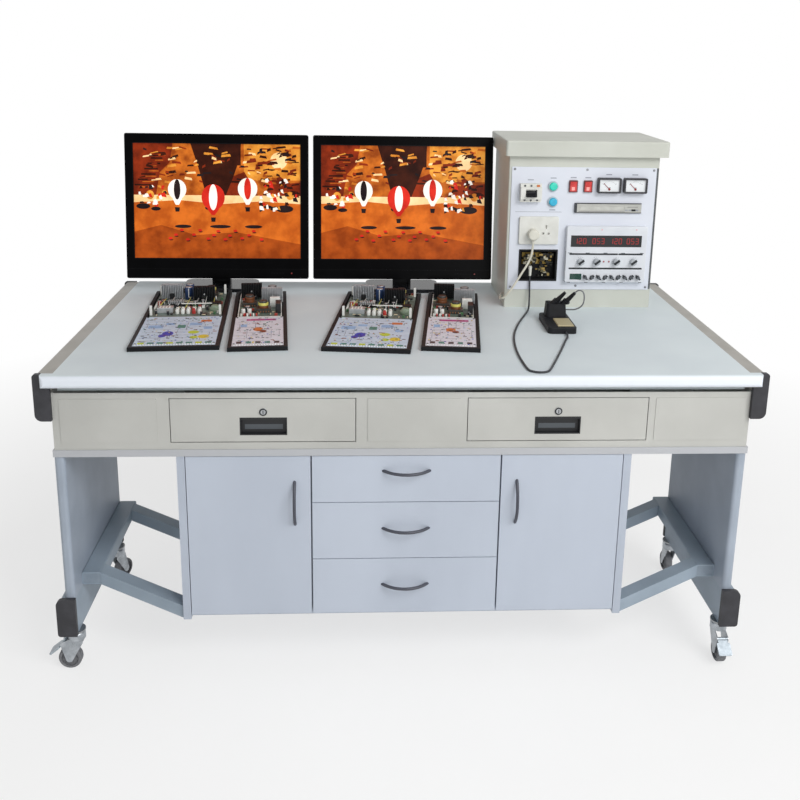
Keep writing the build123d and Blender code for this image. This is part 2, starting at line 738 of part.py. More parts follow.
def desk_drawer(name, x):
    """One sheet steel drawer with its pull cup, and the two rails that it runs on."""
    with BuildPart() as front:
        with BuildSketch(Plane.XZ.offset(-FACE_Y)):
            with Locations((x, desk_drawer_z)):
                Rectangle(DESK_FRONT_WIDTH, DESK_FRONT_HEIGHT)
        extrude(amount=-DESK_FRONT_THICKNESS)
        with BuildSketch(Plane.XZ.offset(-desk_front_back)):
            with Locations((x, desk_drawer_z)):
                Rectangle(DESK_FRONT_WIDTH - 2 * SHEET, DESK_FRONT_HEIGHT - 2 * SHEET)
        extrude(amount=DESK_FRONT_THICKNESS - SHEET, mode=Mode.SUBTRACT)
        with BuildSketch(Plane.XZ.offset(-FACE_Y)):
            with Locations((x, pull_z)):
                Rectangle(PULL_WIDTH, PULL_HEIGHT)
            with Locations((x, lock_z)):
                Circle(LOCK_DIAMETER / 2 + RUNNING_FIT)
        extrude(amount=-DESK_FRONT_THICKNESS, mode=Mode.SUBTRACT)
    with BuildPart() as cup:
        with BuildSketch(Plane.XZ.offset(-FACE_Y)):
            with Locations((x, pull_z)):
                Rectangle(PULL_WIDTH, PULL_HEIGHT)
        extrude(amount=-PULL_DEPTH)
        with BuildSketch(Plane.XZ.offset(-FACE_Y)):
            with Locations((x, pull_z - PULL_LIP / 2)):
                Rectangle(PULL_WIDTH - 2 * PULL_WALL, PULL_HEIGHT - 2 * PULL_WALL - PULL_LIP)
        extrude(amount=-(PULL_DEPTH - PULL_WALL), mode=Mode.SUBTRACT)
    left, right = x - desk_box_half, x + desk_box_half
    front_inside = FACE_Y + SHEET
    box_z = (desk_box_bottom, desk_box_bottom + DESK_BOX_HEIGHT)
    write(
        name,
        front.part,
        cup.part,
        board((left, left + SHEET), (front_inside, desk_box_rear), box_z),
        board((right - SHEET, right), (front_inside, desk_box_rear), box_z),
        board((left + SHEET, right - SHEET), (desk_box_rear - SHEET, desk_box_rear), box_z),
        board(
            (left + SHEET, right - SHEET),
            (front_inside, desk_box_rear - SHEET),
            (desk_box_bottom, desk_box_bottom + SHEET),
        ),
    )
    rail_y = (desk_front_back + SEAT_GAP, desk_box_rear)
    shelf = desk_box_bottom - SEAT_GAP
    floor = HOUSING_BOTTOM + SHEET
    runners.extend(runner(left - SEAT_GAP, rail_y, -1, shelf, floor))
    runners.extend(runner(right + SEAT_GAP, rail_y, 1, shelf, floor))


def drawer_lock(name, x):
    """A cylinder lock with its key slot in front and its cam behind the drawer's front."""
    length = LOCK_PROUD + DESK_FRONT_THICKNESS + LOCK_TAIL
    with BuildPart() as lock:
        with BuildSketch(Plane.XZ.offset(-(FACE_Y - LOCK_PROUD))):
            with Locations((x, lock_z)):
                Circle(LOCK_DIAMETER / 2)
        extrude(amount=-length)
        chamfer(lock.faces().sort_by(Axis.Y)[0].edges(), LOCK_PROUD / 2)
        with BuildSketch(Plane.XZ.offset(-(FACE_Y - LOCK_PROUD))):
            with Locations((x, lock_z)):
                Rectangle(LOCK_SLOT, LOCK_DIAMETER / 2, mode=Mode.ADD)
        extrude(amount=-LOCK_PROUD, mode=Mode.SUBTRACT)
        with BuildSketch(Plane.XZ.offset(-(FACE_Y - LOCK_PROUD + length))):
            with Locations((x, lock_z + CAM_LENGTH / 4)):
                RectangleRounded(CAM_WIDTH, CAM_LENGTH, CAM_WIDTH / 3)
        extrude(amount=-CAM_THICKNESS)
    write(name, lock.part)


desk_drawer("desk_drawer_left", DESK_DRAWER_LEFT_X)
desk_drawer("desk_drawer_right", DESK_DRAWER_RIGHT_X)
drawer_lock("drawer_lock_left", DESK_DRAWER_LEFT_X)
drawer_lock("drawer_lock_right", DESK_DRAWER_RIGHT_X)

# Cabinet carcass of boards: sides, floor, top, two partitions and the back
inner_half = CABINET_HALF - BOARD
carcass_z = (CABINET_FLOOR, APRON_BOTTOM)
behind_fronts = FRONT_BACK + FRONT_REBATE
back_y = (CABINET_REAR - BACK_BOARD, CABINET_REAR)
deep_y = (behind_fronts, CABINET_REAR - BACK_BOARD)
carcass_floor_top = CABINET_FLOOR + BOTTOM_BOARD
carcass_top_bottom = APRON_BOTTOM - TOP_BOARD
partition_z = (carcass_floor_top, carcass_top_bottom)
write(
    "cabinet_carcass",
    board((-CABINET_HALF, -inner_half), (FACE_Y, CABINET_REAR), carcass_z),
    board((inner_half, CABINET_HALF), (FACE_Y, CABINET_REAR), carcass_z),
    board((-inner_half, inner_half), deep_y, (CABINET_FLOOR, carcass_floor_top)),
    board((-inner_half, inner_half), deep_y, (carcass_top_bottom, APRON_BOTTOM)),
    board((-inner_half, inner_half), back_y, carcass_z),
    board((-PARTITION_X - PARTITION / 2, -PARTITION_X + PARTITION / 2), deep_y, partition_z),
    board((PARTITION_X - PARTITION / 2, PARTITION_X + PARTITION / 2), deep_y, partition_z),
)

# Bow handles: a round rod bent to an arc that springs from the front's face
bow_radius = ((BOW_CHORD / 2) ** 2 + BOW_RISE**2) / (2 * BOW_RISE)


def bow_handle(x, z, upright):
    """One bow handle on the front plane, lying along X or standing upright."""
    centre = (x, FACE_Y + bow_radius - BOW_RISE, z)
    along = (0, 0, 1) if upright else (1, 0, 0)
    across = (1, 0, 0) if upright else (0, 0, 1)
    with BuildPart() as bow:
        with BuildSketch(Plane(origin=centre, x_dir=along, z_dir=(0, 1, 0))):
            with Locations((bow_radius, 0)):
                Circle(BOW_ROD / 2)
        revolve(axis=Axis(centre, across), revolution_arc=360)
        split(bisect_by=Plane.XZ.offset(-FACE_Y), keep=Keep.TOP)
    return bow.part


# Cabinet drawers: three fronts between the doors, each on a box of thin boards
front_top = APRON_BOTTOM - FRONT_TOP_GAP
box_half = PARTITION_X - PARTITION / 2 - RUNNER_SHEET - SEAT_GAP
middle_top = front_top - DRAWER_TOP_HEIGHT - FRONT_TOP_GAP
bottom_top = middle_top - DRAWER_MIDDLE_HEIGHT - FRONT_TOP_GAP
front_bottom = carcass_floor_top + FRONT_REBATE


def cabinet_drawer(name, low, high, handle_rise):
    """One drawer between two heights, with its bow handle and the two rails that it runs on."""
    floor = low + DRAWER_BOX_LIFT
    box_z = (floor, high - DRAWER_BOX_DROP)
    rear = FRONT_BACK + DRAWER_BOX_DEPTH
    inner = box_half - DRAWER_BOARD
    half = DRAWER_FRONT_WIDTH / 2
    write(
        name,
        board((-half, half), (FACE_Y, FRONT_BACK), (low, high)),
        board((-box_half, -inner), (FRONT_BACK, rear), box_z),
        board((inner, box_half), (FRONT_BACK, rear), box_z),
        board((-inner, inner), (rear - DRAWER_BOARD, rear), box_z),
        board((-inner, inner), (FRONT_BACK, rear - DRAWER_BOARD), (floor, floor + DRAWER_FLOOR)),
        bow_handle(0, (low + high) / 2 + handle_rise, False),
    )
    rail_y = (behind_fronts, rear - CABINET_RUNNER_SHORT)
    shelf = floor - SEAT_GAP
    foot = shelf - RUNNER_SHEET
    for side in (-1, 1):
        runners.extend(runner(side * (box_half + SEAT_GAP), rail_y, side, shelf, foot))


cabinet_drawer("cabinet_drawer_top", front_top - DRAWER_TOP_HEIGHT, front_top, TOP_HANDLE_RISE)
cabinet_drawer(
    "cabinet_drawer_middle", middle_top - DRAWER_MIDDLE_HEIGHT, middle_top, MIDDLE_HANDLE_RISE
)
cabinet_drawer("cabinet_drawer_bottom", front_bottom, bottom_top, BOTTOM_HANDLE_RISE)

# Doors, set in between the sides and the drawer fronts
door_outer = inner_half - SWING_GAP
for name, side in (("door_left", -1), ("door_right", 1)):
    door_x = sorted((side * DOOR_INNER_X, side * door_outer))
    write(
        name,
        board(door_x, (FACE_Y, FRONT_BACK), (front_bottom, front_top)),
        bow_handle(side * DOOR_HANDLE_X, DOOR_HANDLE_Z, True),
    )


def hinge_arm(z):
    """The arm of a concealed hinge on the cabinet's right side, just behind the door."""
    front = FRONT_BACK + SEAT_GAP
    return board(
        (inner_half - HINGE_ARM_WIDTH, inner_half),
        (front, front + HINGE_ARM_LENGTH),
        (z - HINGE_ARM_HEIGHT / 2, z + HINGE_ARM_HEIGHT / 2),
    )


hinge_arms = [hinge_arm(front_top - HINGE_ARM_INSET), hinge_arm(front_bottom + HINGE_ARM_INSET)]
hinge_arms += [mirrored(arm) for arm in hinge_arms]

# Casters: flange and stem on the foot rail, forked head, wheel, and a brake pedal on the front two
axle_height = WHEEL_DIAMETER / 2
flange_bottom = FOOT_HEIGHT - FLANGE_THICKNESS
head_top = flange_bottom - SEAT_GAP
head_bottom = head_top - HEAD_THICKNESS
cheek_inner = WHEEL_WIDTH / 2 + CHEEK_GAP
casters = (
    ("front_left", -CASTER_X, CASTER_FRONT_Y, FRONT_LEFT_TURN, True),
    ("front_right", CASTER_X, CASTER_FRONT_Y, FRONT_RIGHT_TURN, True),
    ("rear_left", -CASTER_X, CASTER_REAR_Y, REAR_LEFT_TURN, False),
    ("rear_right", CASTER_X, CASTER_REAR_Y, REAR_RIGHT_TURN, False),
)


def caster_stem():
    """Flange and stem, standing over the origin."""
    with BuildPart() as stem:
        with BuildSketch(Plane.XY.offset(flange_bottom)):
            Circle(FLANGE_DIAMETER / 2)
        extrude(amount=FLANGE_THICKNESS)
        with BuildSketch(Plane.XY.offset(flange_bottom)):
            Circle(STEM_DIAMETER / 2)
        extrude(amount=-STEM_LENGTH)
    return stem.part


def cheek(low_y, braked):
    """One side plate of the fork, trailing along X."""
    with BuildPart() as side_plate:
        with BuildSketch(Plane.XZ.offset(-low_y)):
            with Locations((TRAIL, axle_height)):
                Circle(AXLE_BOSS)
            with Locations((0, head_bottom - AXLE_BOSS / 2)):
                Rectangle(CHEEK_TOP, AXLE_BOSS)
            if braked:
                with Locations((PEDAL_HINGE_TRAIL, PEDAL_HINGE_HEIGHT)):
                    Circle(PEDAL_EAR)
            make_hull()
        extrude(amount=-CHEEK)
    return side_plate.part


def caster_fork(braked):
    """Domed head, two cheeks, the wheel's axle and, on a braked caster, the pedal's pin."""
    with BuildPart() as fork:
        with BuildSketch(Plane.XY.offset(head_bottom)):
            Circle(HEAD_DIAMETER / 2)
        extrude(amount=HEAD_THICKNESS)
        fillet(fork.faces().sort_by(Axis.Z)[-1].edges(), HEAD_ROUND)
        add(cheek(cheek_inner, braked))
        add(cheek(-cheek_inner - CHEEK, braked))
        with BuildSketch(Plane.XZ.offset(cheek_inner)):
            with Locations((TRAIL, axle_height)):
                Circle(AXLE_DIAMETER / 2)
            if braked:
                with Locations((PEDAL_HINGE_TRAIL, PEDAL_HINGE_HEIGHT)):
                    Circle(PEDAL_PIN / 2)
        extrude(amount=-2 * cheek_inner)
        with BuildSketch(Plane.XY.offset(head_top)):
            Circle(STEM_DIAMETER / 2 + RUNNING_FIT)
        extrude(amount=-STEM_LENGTH, mode=Mode.SUBTRACT)
    return fork.part


def caster_wheel():
    """Wheel with a rounded tread and a recessed web round its hub."""
    half = WHEEL_WIDTH / 2
    rim = WHEEL_DIAMETER / 2 - RIM_DEPTH
    with BuildPart() as wheel:
        with BuildSketch(Plane.XY) as section:
            with BuildLine():
                Polyline(
                    (AXLE_DIAMETER / 2 + RUNNING_FIT, -half),
                    (HUB_DIAMETER / 2, -half),
                    (HUB_DIAMETER / 2, -half + WEB_RECESS),
                    (rim, -half + WEB_RECESS),
                    (rim, -half),
                    (WHEEL_DIAMETER / 2, -half),
                    (WHEEL_DIAMETER / 2, half),
                    (rim, half),
                    (rim, half - WEB_RECESS),
                    (HUB_DIAMETER / 2, half - WEB_RECESS),
                    (HUB_DIAMETER / 2, half),
                    (AXLE_DIAMETER / 2 + RUNNING_FIT, half),
                    close=True,
                )
            make_face()
            fillet(section.vertices().group_by(Axis.X)[-1], TYRE_ROUND)
        revolve(axis=Axis.Y)
    return wheel.part.moved(Location((TRAIL, 0, axle_height)))


def brake_pedal():
    """Pedal on a barrel between the cheeks, widening past the fork."""
    slope = radians(PEDAL_SLOPE)
    lie = Plane(
        origin=(PEDAL_HINGE_TRAIL, 0, PEDAL_HINGE_HEIGHT),
        x_dir=(cos(slope), 0, -sin(slope)),
        z_dir=(sin(slope), 0, cos(slope)),
    )
    half_barrel = cheek_inner - SEAT_GAP
    with BuildPart() as pedal:
        with BuildSketch(Plane.XZ.offset(half_barrel)):
            with Locations((PEDAL_HINGE_TRAIL, PEDAL_HINGE_HEIGHT)):
                Circle(PEDAL_PIN)
        extrude(amount=-2 * half_barrel)
        with BuildSketch(lie.offset(-PEDAL_THICKNESS / 2)):
            with Locations((PEDAL_NECK / 2, 0)):
                Rectangle(PEDAL_NECK, 2 * half_barrel)
            with Locations(((PEDAL_NECK + PEDAL_LENGTH) / 2, 0)):
                RectangleRounded(PEDAL_LENGTH - PEDAL_NECK, PEDAL_WIDTH, PEDAL_THICKNESS)
        extrude(amount=PEDAL_THICKNESS)
        with BuildSketch(Plane.XZ.offset(half_barrel)):
            with Locations((PEDAL_HINGE_TRAIL, PEDAL_HINGE_HEIGHT)):
                Circle(PEDAL_PIN / 2 + RUNNING_FIT)
        extrude(amount=-2 * half_barrel, mode=Mode.SUBTRACT)
    return pedal.part


stems = []
for name, x, y, turn, braked in casters:
    place = Location((x, y, 0), (0, 0, turn))
    stems.append(caster_stem().moved(place))
    write(f"caster_fork_{name}", caster_fork(braked).moved(place))
    write(f"wheel_{name}", caster_wheel().moved(place))
    if braked:
        write(f"brake_pedal_{name}", brake_pedal().moved(place))

write("steel_fittings", *runners, *hinge_arms, *stems)

# Television sets: bezel with a sunk screen, tapered back shell, and a knuckle on the stand's pin
tilt = radians(TV_TILT)
tv_bottom = TOP_HEIGHT + TV_LIFT
tv_total = BEZEL_THICKNESS + SHELL_DEPTH
pivot_depth = tv_total + TV_PIVOT_BACK
pivot_y = TV_FRONT_Y + TV_PIVOT_RISE * sin(tilt) + pivot_depth * cos(tilt)
pivot_z = tv_bottom + TV_PIVOT_RISE * cos(tilt) - pivot_depth * sin(tilt)


def television(name, x):
    """One set, built on the plane of its tilted front."""
    face = Plane(
        origin=(x, TV_FRONT_Y, tv_bottom), x_dir=(1, 0, 0), z_dir=(0, -cos(tilt), sin(tilt))
    )
    middle = (0, TV_HEIGHT / 2)
    screen = (TV_WIDTH - 2 * BEZEL_SIDE, TV_HEIGHT - BEZEL_TOP - BEZEL_BOTTOM)
    screen_middle = (0, BEZEL_BOTTOM + screen[1] / 2)
    with BuildPart() as bezel:
        with BuildSketch(face):
            with Locations(middle):
                RectangleRounded(TV_WIDTH, TV_HEIGHT, BEZEL_ROUND)
            with Locations(screen_middle):
                Rectangle(*screen, mode=Mode.SUBTRACT)
        extrude(amount=-BEZEL_THICKNESS)
    with BuildPart() as glass:
        with BuildSketch(face.offset(-SCREEN_RECESS)):
            with Locations(screen_middle):
                Rectangle(*screen)
        extrude(amount=-SCREEN_THICKNESS)
    rim = (TV_WIDTH - 2 * SHELL_INSET, TV_HEIGHT - 2 * SHELL_INSET)
    end = (rim[0] - 2 * SHELL_TAPER, rim[1] - 2 * SHELL_TAPER)
    with BuildPart() as back_cover:
        with BuildSketch(face.offset(-BEZEL_THICKNESS)):
            with Locations(middle):
                Rectangle(*rim)
        with BuildSketch(face.offset(-tv_total)):
            with Locations(middle):
                Rectangle(*end)
        loft(ruled=True)
        with BuildSketch(face.offset(-BEZEL_THICKNESS)):
            with Locations(middle):
                Rectangle(rim[0] - 2 * SHELL_WALL, rim[1] - 2 * SHELL_WALL)
        with BuildSketch(face.offset(-(tv_total - SHELL_WALL))):
            with Locations(middle):
                Rectangle(end[0] - 2 * SHELL_WALL, end[1] - 2 * SHELL_WALL)
        loft(ruled=True, mode=Mode.SUBTRACT)
        with BuildSketch(Plane.YZ.offset(x - KNUCKLE_LENGTH / 2)):
            with Locations((pivot_y, pivot_z)):
                Circle(KNUCKLE_RADIUS)
                with Locations(Location((0, 0), TV_TILT)):
                    with Locations((-(TV_PIVOT_BACK - SHELL_WALL / 4), 0)):
                        Rectangle(SHELL_WALL / 2, 2 * KNUCKLE_RADIUS)
            make_hull()
            with Locations((pivot_y, pivot_z)):
                Circle(TV_PIN / 2 + RUNNING_FIT, mode=Mode.SUBTRACT)
        extrude(amount=KNUCKLE_LENGTH)
    write(name, bezel.part, glass.part, back_cover.part)


def tv_stand(x):
    """Foot plate, cross plate and two ears with the tilt pin."""
    foot_z = (TOP_HEIGHT, TOP_HEIGHT + STAND_THICKNESS)
    ear_start = KNUCKLE_LENGTH / 2 + SEAT_GAP
    ear_front = pivot_y - EAR_RADIUS + 2
    with BuildPart() as foot:
        with BuildSketch(Plane.XY.offset(foot_z[0])):
            with Locations((x, STAND_FRONT_Y + STAND_DEPTH / 2)):
                RectangleRounded(STAND_WIDTH, STAND_DEPTH, STAND_ROUND)
        extrude(amount=STAND_THICKNESS)
        chamfer(foot.faces().sort_by(Axis.Z)[-1].edges(), CAP_EDGE)
    ears = []
    for side in (-1, 1):
        ear_x = x + ear_start if side > 0 else x - ear_start - EAR_THICKNESS
        with BuildPart() as ear:
            with BuildSketch(Plane.YZ.offset(ear_x)):
                with Locations((pivot_y, pivot_z)):
                    Circle(EAR_RADIUS)
                with Locations((ear_front + EAR_FOOT / 2, foot_z[1] + CAP_EDGE / 4)):
                    Rectangle(EAR_FOOT, CAP_EDGE / 2)
                make_hull()
            extrude(amount=EAR_THICKNESS)
        ears.append(ear.part)
    neck_y = (ear_front + EAR_FOOT - NECK_PLATE, ear_front + EAR_FOOT)
    neck = board((x - ear_start, x + ear_start), neck_y, (foot_z[1], foot_z[1] + NECK_HEIGHT))
    with BuildPart() as pin:
        with BuildSketch(Plane.YZ.offset(x - ear_start)):
            with Locations((pivot_y, pivot_z)):
                Circle(TV_PIN / 2)
        extrude(amount=2 * ear_start)
    return [foot.part, *ears, neck, pin.part]


television("tv_left", TV_LEFT_X)
television("tv_right", TV_RIGHT_X)
write("tv_stands", *tv_stand(TV_LEFT_X), *tv_stand(TV_RIGHT_X))

# Console: sheet case with cut-outs in front, overhanging cowl, and the cord's gland on its left side
console_half = CONSOLE_WIDTH / 2
console_left = CONSOLE_X - console_half
console_rear = CONSOLE_FRONT_Y + CONSOLE_DEPTH
console_top = TOP_HEIGHT + CONSOLE_HEIGHT
player_hole = (PLAYER_SIZE[0] - 2 * PLAYER_SHRINK * 2, PLAYER_SIZE[1] - 2 * PLAYER_SHRINK)
with BuildPart() as case:
    with BuildSketch(Plane.XY.offset(TOP_HEIGHT)) as case_plan:
        with Locations((CONSOLE_X, (CONSOLE_FRONT_Y + console_rear) / 2)):
            RectangleRounded(CONSOLE_WIDTH, CONSOLE_DEPTH, CONSOLE_ROUND)
    extrude(amount=CONSOLE_HEIGHT)
    with BuildSketch(Plane.XY.offset(TOP_HEIGHT + CONSOLE_WALL)):
        with Locations((CONSOLE_X, (CONSOLE_FRONT_Y + console_rear) / 2)):
            Rectangle(CONSOLE_WIDTH - 2 * CONSOLE_WALL, CONSOLE_DEPTH - 2 * CONSOLE_WALL)
    extrude(amount=CONSOLE_HEIGHT - 2 * CONSOLE_WALL, mode=Mode.SUBTRACT)
    with BuildSketch(Plane.XZ.offset(-CONSOLE_FRONT_Y)):
        with Locations(on_panel(WINDOW_AT)):
            Rectangle(*WINDOW_SIZE)
        with Locations(on_panel(PLAYER_AT)):
            Rectangle(*player_hole)
    extrude(amount=-CONSOLE_WALL, mode=Mode.SUBTRACT)

with BuildPart() as cowl:
    with BuildSketch(Plane.XY.offset(console_top)):
        with Locations(
            (CONSOLE_X + COWL_SHIFT, (CONSOLE_FRONT_Y - COWL_FRONT + console_rear + COWL_BACK) / 2)
        ):
            RectangleRounded(COWL_WIDTH, CONSOLE_DEPTH + COWL_FRONT + COWL_BACK, COWL_ROUND)
    extrude(amount=COWL_HEIGHT)
    fillet(cowl.faces().sort_by(Axis.Z)[-1].edges(), COWL_ROUND / 2)
    with BuildSketch(Plane.XY.offset(console_top)):
        with Locations((CONSOLE_X, (CONSOLE_FRONT_Y + console_rear) / 2)):
            Rectangle(CONSOLE_WIDTH - 2 * CONSOLE_ROUND, CONSOLE_DEPTH - 2 * CONSOLE_ROUND)
    extrude(amount=COWL_HEIGHT - CONSOLE_WALL, mode=Mode.SUBTRACT)

gland_turn = radians(GLAND_TURN)
gland_out = (-sin(gland_turn), -cos(gland_turn), 0)
gland_root = (console_left, GLAND_Y, TOP_HEIGHT + GLAND_LIFT)
with BuildPart() as gland:
    with BuildSketch(Plane(origin=gland_root, x_dir=(0, 0, 1), z_dir=gland_out)):
        Circle(GLAND_DIAMETER / 2)
    extrude(amount=GLAND_LENGTH)
    chamfer(gland.faces().sort_by(Axis.Y)[0].edges(), CAP_EDGE)
    with BuildSketch(Plane(origin=gland_root, x_dir=(0, 0, 1), z_dir=gland_out)):
        Circle(GLAND_DIAMETER / 2)
    extrude(amount=-GLAND_LENGTH)
    split(bisect_by=Plane.YZ.offset(console_left), keep=Keep.BOTTOM)
write("console_case", case.part, cowl.part, gland.part)

with BuildPart() as console_panel:
    with BuildSketch(Plane.XZ.offset(-CONSOLE_FRONT_Y)):
        with Locations(on_panel((0, PANEL_BASE + PANEL_HEIGHT / 2))):
            Rectangle(PANEL_WIDTH, PANEL_HEIGHT)
        with Locations(on_panel(WINDOW_AT)):
            Rectangle(*WINDOW_SIZE, mode=Mode.SUBTRACT)
        with Locations(on_panel(PLAYER_AT)):
            Rectangle(*player_hole, mode=Mode.SUBTRACT)
    extrude(amount=PANEL_THICKNESS)
write("console_panel", console_panel.part)

# Circuit breaker: stepped body with a slot for the lever
breaker_x, breaker_z = on_panel(BREAKER_AT)
lever_axis_y = PANEL_Y - BREAKER_DEPTH + LEVER_BARREL / 2
with BuildPart() as breaker:
    with BuildSketch(Plane.YZ.offset(breaker_x - BREAKER_SIZE[0] / 2)):
        with BuildLine():
            Polyline(
                (PANEL_Y, breaker_z - BREAKER_SIZE[1] / 2),
                (PANEL_Y - BREAKER_DEPTH + BREAKER_STEP, breaker_z - BREAKER_SIZE[1] / 2),
                (
                    PANEL_Y - BREAKER_DEPTH + BREAKER_STEP,
                    breaker_z - BREAKER_SIZE[1] / 2 + BREAKER_SHOULDER,
                ),
                (PANEL_Y - BREAKER_DEPTH, breaker_z - BREAKER_SIZE[1] / 2 + BREAKER_SHOULDER),
                (PANEL_Y - BREAKER_DEPTH, breaker_z + BREAKER_SIZE[1] / 2 - BREAKER_SHOULDER),
                (
                    PANEL_Y - BREAKER_DEPTH + BREAKER_STEP,
                    breaker_z + BREAKER_SIZE[1] / 2 - BREAKER_SHOULDER,
                ),
                (PANEL_Y - BREAKER_DEPTH + BREAKER_STEP, breaker_z + BREAKER_SIZE[1] / 2),
                (PANEL_Y, breaker_z + BREAKER_SIZE[1] / 2),
                close=True,
            )
        make_face()
    extrude(amount=BREAKER_SIZE[0])
    with BuildSketch(Plane.XZ.offset(-(PANEL_Y - BREAKER_DEPTH))):
        with Locations((breaker_x, breaker_z)):
            Rectangle(*LEVER_SLOT)
    extrude(amount=-(LEVER_BARREL + SEAT_GAP), mode=Mode.SUBTRACT)
write("circuit_breaker", breaker.part)

lever_slope = radians(LEVER_ANGLE)
with BuildPart() as lever:
    with BuildSketch(Plane.YZ.offset(breaker_x - LEVER_WIDTH / 2)):
        with Locations((lever_axis_y, breaker_z)):
            Circle(LEVER_BARREL / 2)
        with BuildLine():
            tip_y = lever_axis_y - LEVER_REACH * cos(lever_slope)
            tip_z = breaker_z - LEVER_REACH * sin(lever_slope)
            rise_y = LEVER_THICKNESS / 2 * sin(lever_slope)
            rise_z = LEVER_THICKNESS / 2 * cos(lever_slope)
            Polyline(
                (lever_axis_y + rise_y, breaker_z - rise_z),
                (tip_y + rise_y, tip_z - rise_z),
                (tip_y - rise_y, tip_z + rise_z),
                (lever_axis_y - rise_y, breaker_z + rise_z),
                close=True,
            )
        make_face()
    extrude(amount=LEVER_WIDTH)
write("breaker_lever", lever.part)

# Push buttons and their rings
ring_bore = BUTTON_DIAMETER / 2 + SEAT_GAP


def button_ring(place):
    """The raised ring that a push button slides in."""
    with BuildPart() as ring:
        with BuildSketch(Plane.XZ.offset(-PANEL_Y)):
            with Locations(on_panel(place)):
                Circle(RING_DIAMETER / 2)
                Circle(ring_bore, mode=Mode.SUBTRACT)
        extrude(amount=RING_HEIGHT)
        chamfer(ring.faces().sort_by(Axis.Y)[0].outer_wire().edges(), RING_HEIGHT / 4)
    return ring.part


def push_button(name, place):
    """A domed push button that stands clear of the panel by more than its travel."""
    with BuildPart() as button:
        with BuildSketch(Plane.XZ.offset(-(PANEL_Y - BUTTON_STAND))):
            with Locations(on_panel(place)):
                Circle(BUTTON_DIAMETER / 2)
        extrude(amount=BUTTON_HEIGHT - BUTTON_STAND)
        fillet(button.faces().sort_by(Axis.Y)[0].edges(), BUTTON_DOME)
    write(name, button.part)


push_button("green_button", GREEN_BUTTON_AT)
push_button("blue_button", BLUE_BUTTON_AT)

# Rocker switches: a two-sloped key that rocks about a line in its frame
rocker_half = ROCKER_SIZE[1] / 2


def rocker_frame(place):
    """The square-edged frame of an upright rocker."""
    with BuildPart() as frame:
        with BuildSketch(Plane.XZ.offset(-PANEL_Y)):
            with Locations(on_panel(place)):
                RectangleRounded(*ROCKER_FRAME, CAP_EDGE)
                Rectangle(
                    ROCKER_SIZE[0] + 2 * SEAT_GAP,
                    ROCKER_SIZE[1] + 2 * SEAT_GAP,
                    mode=Mode.SUBTRACT,
                )
        extrude(amount=FRAME_HEIGHT)
    return frame.part


def rocker(name, width, half, place, front_y, upright):
    """One rocker key at its rest angle, standing upright or lying along X."""
    with BuildPart() as key:
        with BuildSketch(Plane.YZ.offset(-width / 2)):
            with BuildLine():
                Polyline(
                    (ROCKER_PIVOT - 1, 0),
                    (1, -half),
                    (-3, -half),
                    (-1.2, 0),
                    (-3, half),
                    (1, half),
                    close=True,
                )
            make_face()
        extrude(amount=width)
    x, z = on_panel(place)
    rest = Location((0, 0, 0), (ROCKER_ANGLE, 0, 0))
    turn = Location((0, 0, 0), (0, 0 if upright else 90, 0))
    place_at = Location((x, front_y - ROCKER_PIVOT, z))
    write(name, key.part.moved(rest).moved(turn).moved(place_at))


rocker("rocker_left", ROCKER_SIZE[0], rocker_half, ROCKER_LEFT_AT, PANEL_Y, True)
rocker("rocker_right", ROCKER_SIZE[0], rocker_half, ROCKER_RIGHT_AT, PANEL_Y, True)

# Panel meters: case with a sunk dial, and a needle on a hub in front of the dial
dial_y = PANEL_Y - METER_DEPTH + METER_RECESS


def meter(place):
    """A meter's case and the dial plate sunk in it."""
    inner = (METER_SIZE[0] - 2 * METER_FRAME, METER_SIZE[1] - 2 * METER_FRAME)
    with BuildPart() as meter_case:
        with BuildSketch(Plane.XZ.offset(-PANEL_Y)):
            with Locations(on_panel(place)):
                RectangleRounded(*METER_SIZE, METER_ROUND)
        extrude(amount=METER_DEPTH)
        with BuildSketch(Plane.XZ.offset(-(PANEL_Y - METER_DEPTH))):
            with Locations(on_panel(place)):
                Rectangle(*inner)
        extrude(amount=-METER_RECESS, mode=Mode.SUBTRACT)
    with BuildPart() as dial:
        with BuildSketch(Plane.XZ.offset(-dial_y)):
            with Locations(on_panel(place)):
                Rectangle(*inner)
        extrude(amount=DIAL_THICKNESS)
    return [meter_case.part, dial.part]


def needle(name, place):
    """A pointer with its hub, resting at the left of the dial."""
    x, z = on_panel(place)
    with BuildPart() as pointer:
        with BuildSketch(Plane.XZ.offset(-(dial_y - DIAL_THICKNESS - SEAT_GAP))):
            with Locations(Location((x, z - NEEDLE_DROP), NEEDLE_ANGLE)):
                with Locations((0, NEEDLE_LENGTH / 2)):
                    Rectangle(NEEDLE_WIDTH, NEEDLE_LENGTH)
            with Locations((x, z - NEEDLE_DROP)):
                Circle(NEEDLE_HUB / 2)
        extrude(amount=NEEDLE_THICKNESS)
    write(name, pointer.part)


needle("needle_left", METER_LEFT_AT)
needle("needle_right", METER_RIGHT_AT)
write(
    "panel_bezels",
    button_ring(GREEN_BUTTON_AT),
    button_ring(BLUE_BUTTON_AT),
    rocker_frame(ROCKER_LEFT_AT),
    rocker_frame(ROCKER_RIGHT_AT),
    *meter(METER_LEFT_AT),
    *meter(METER_RIGHT_AT),
)

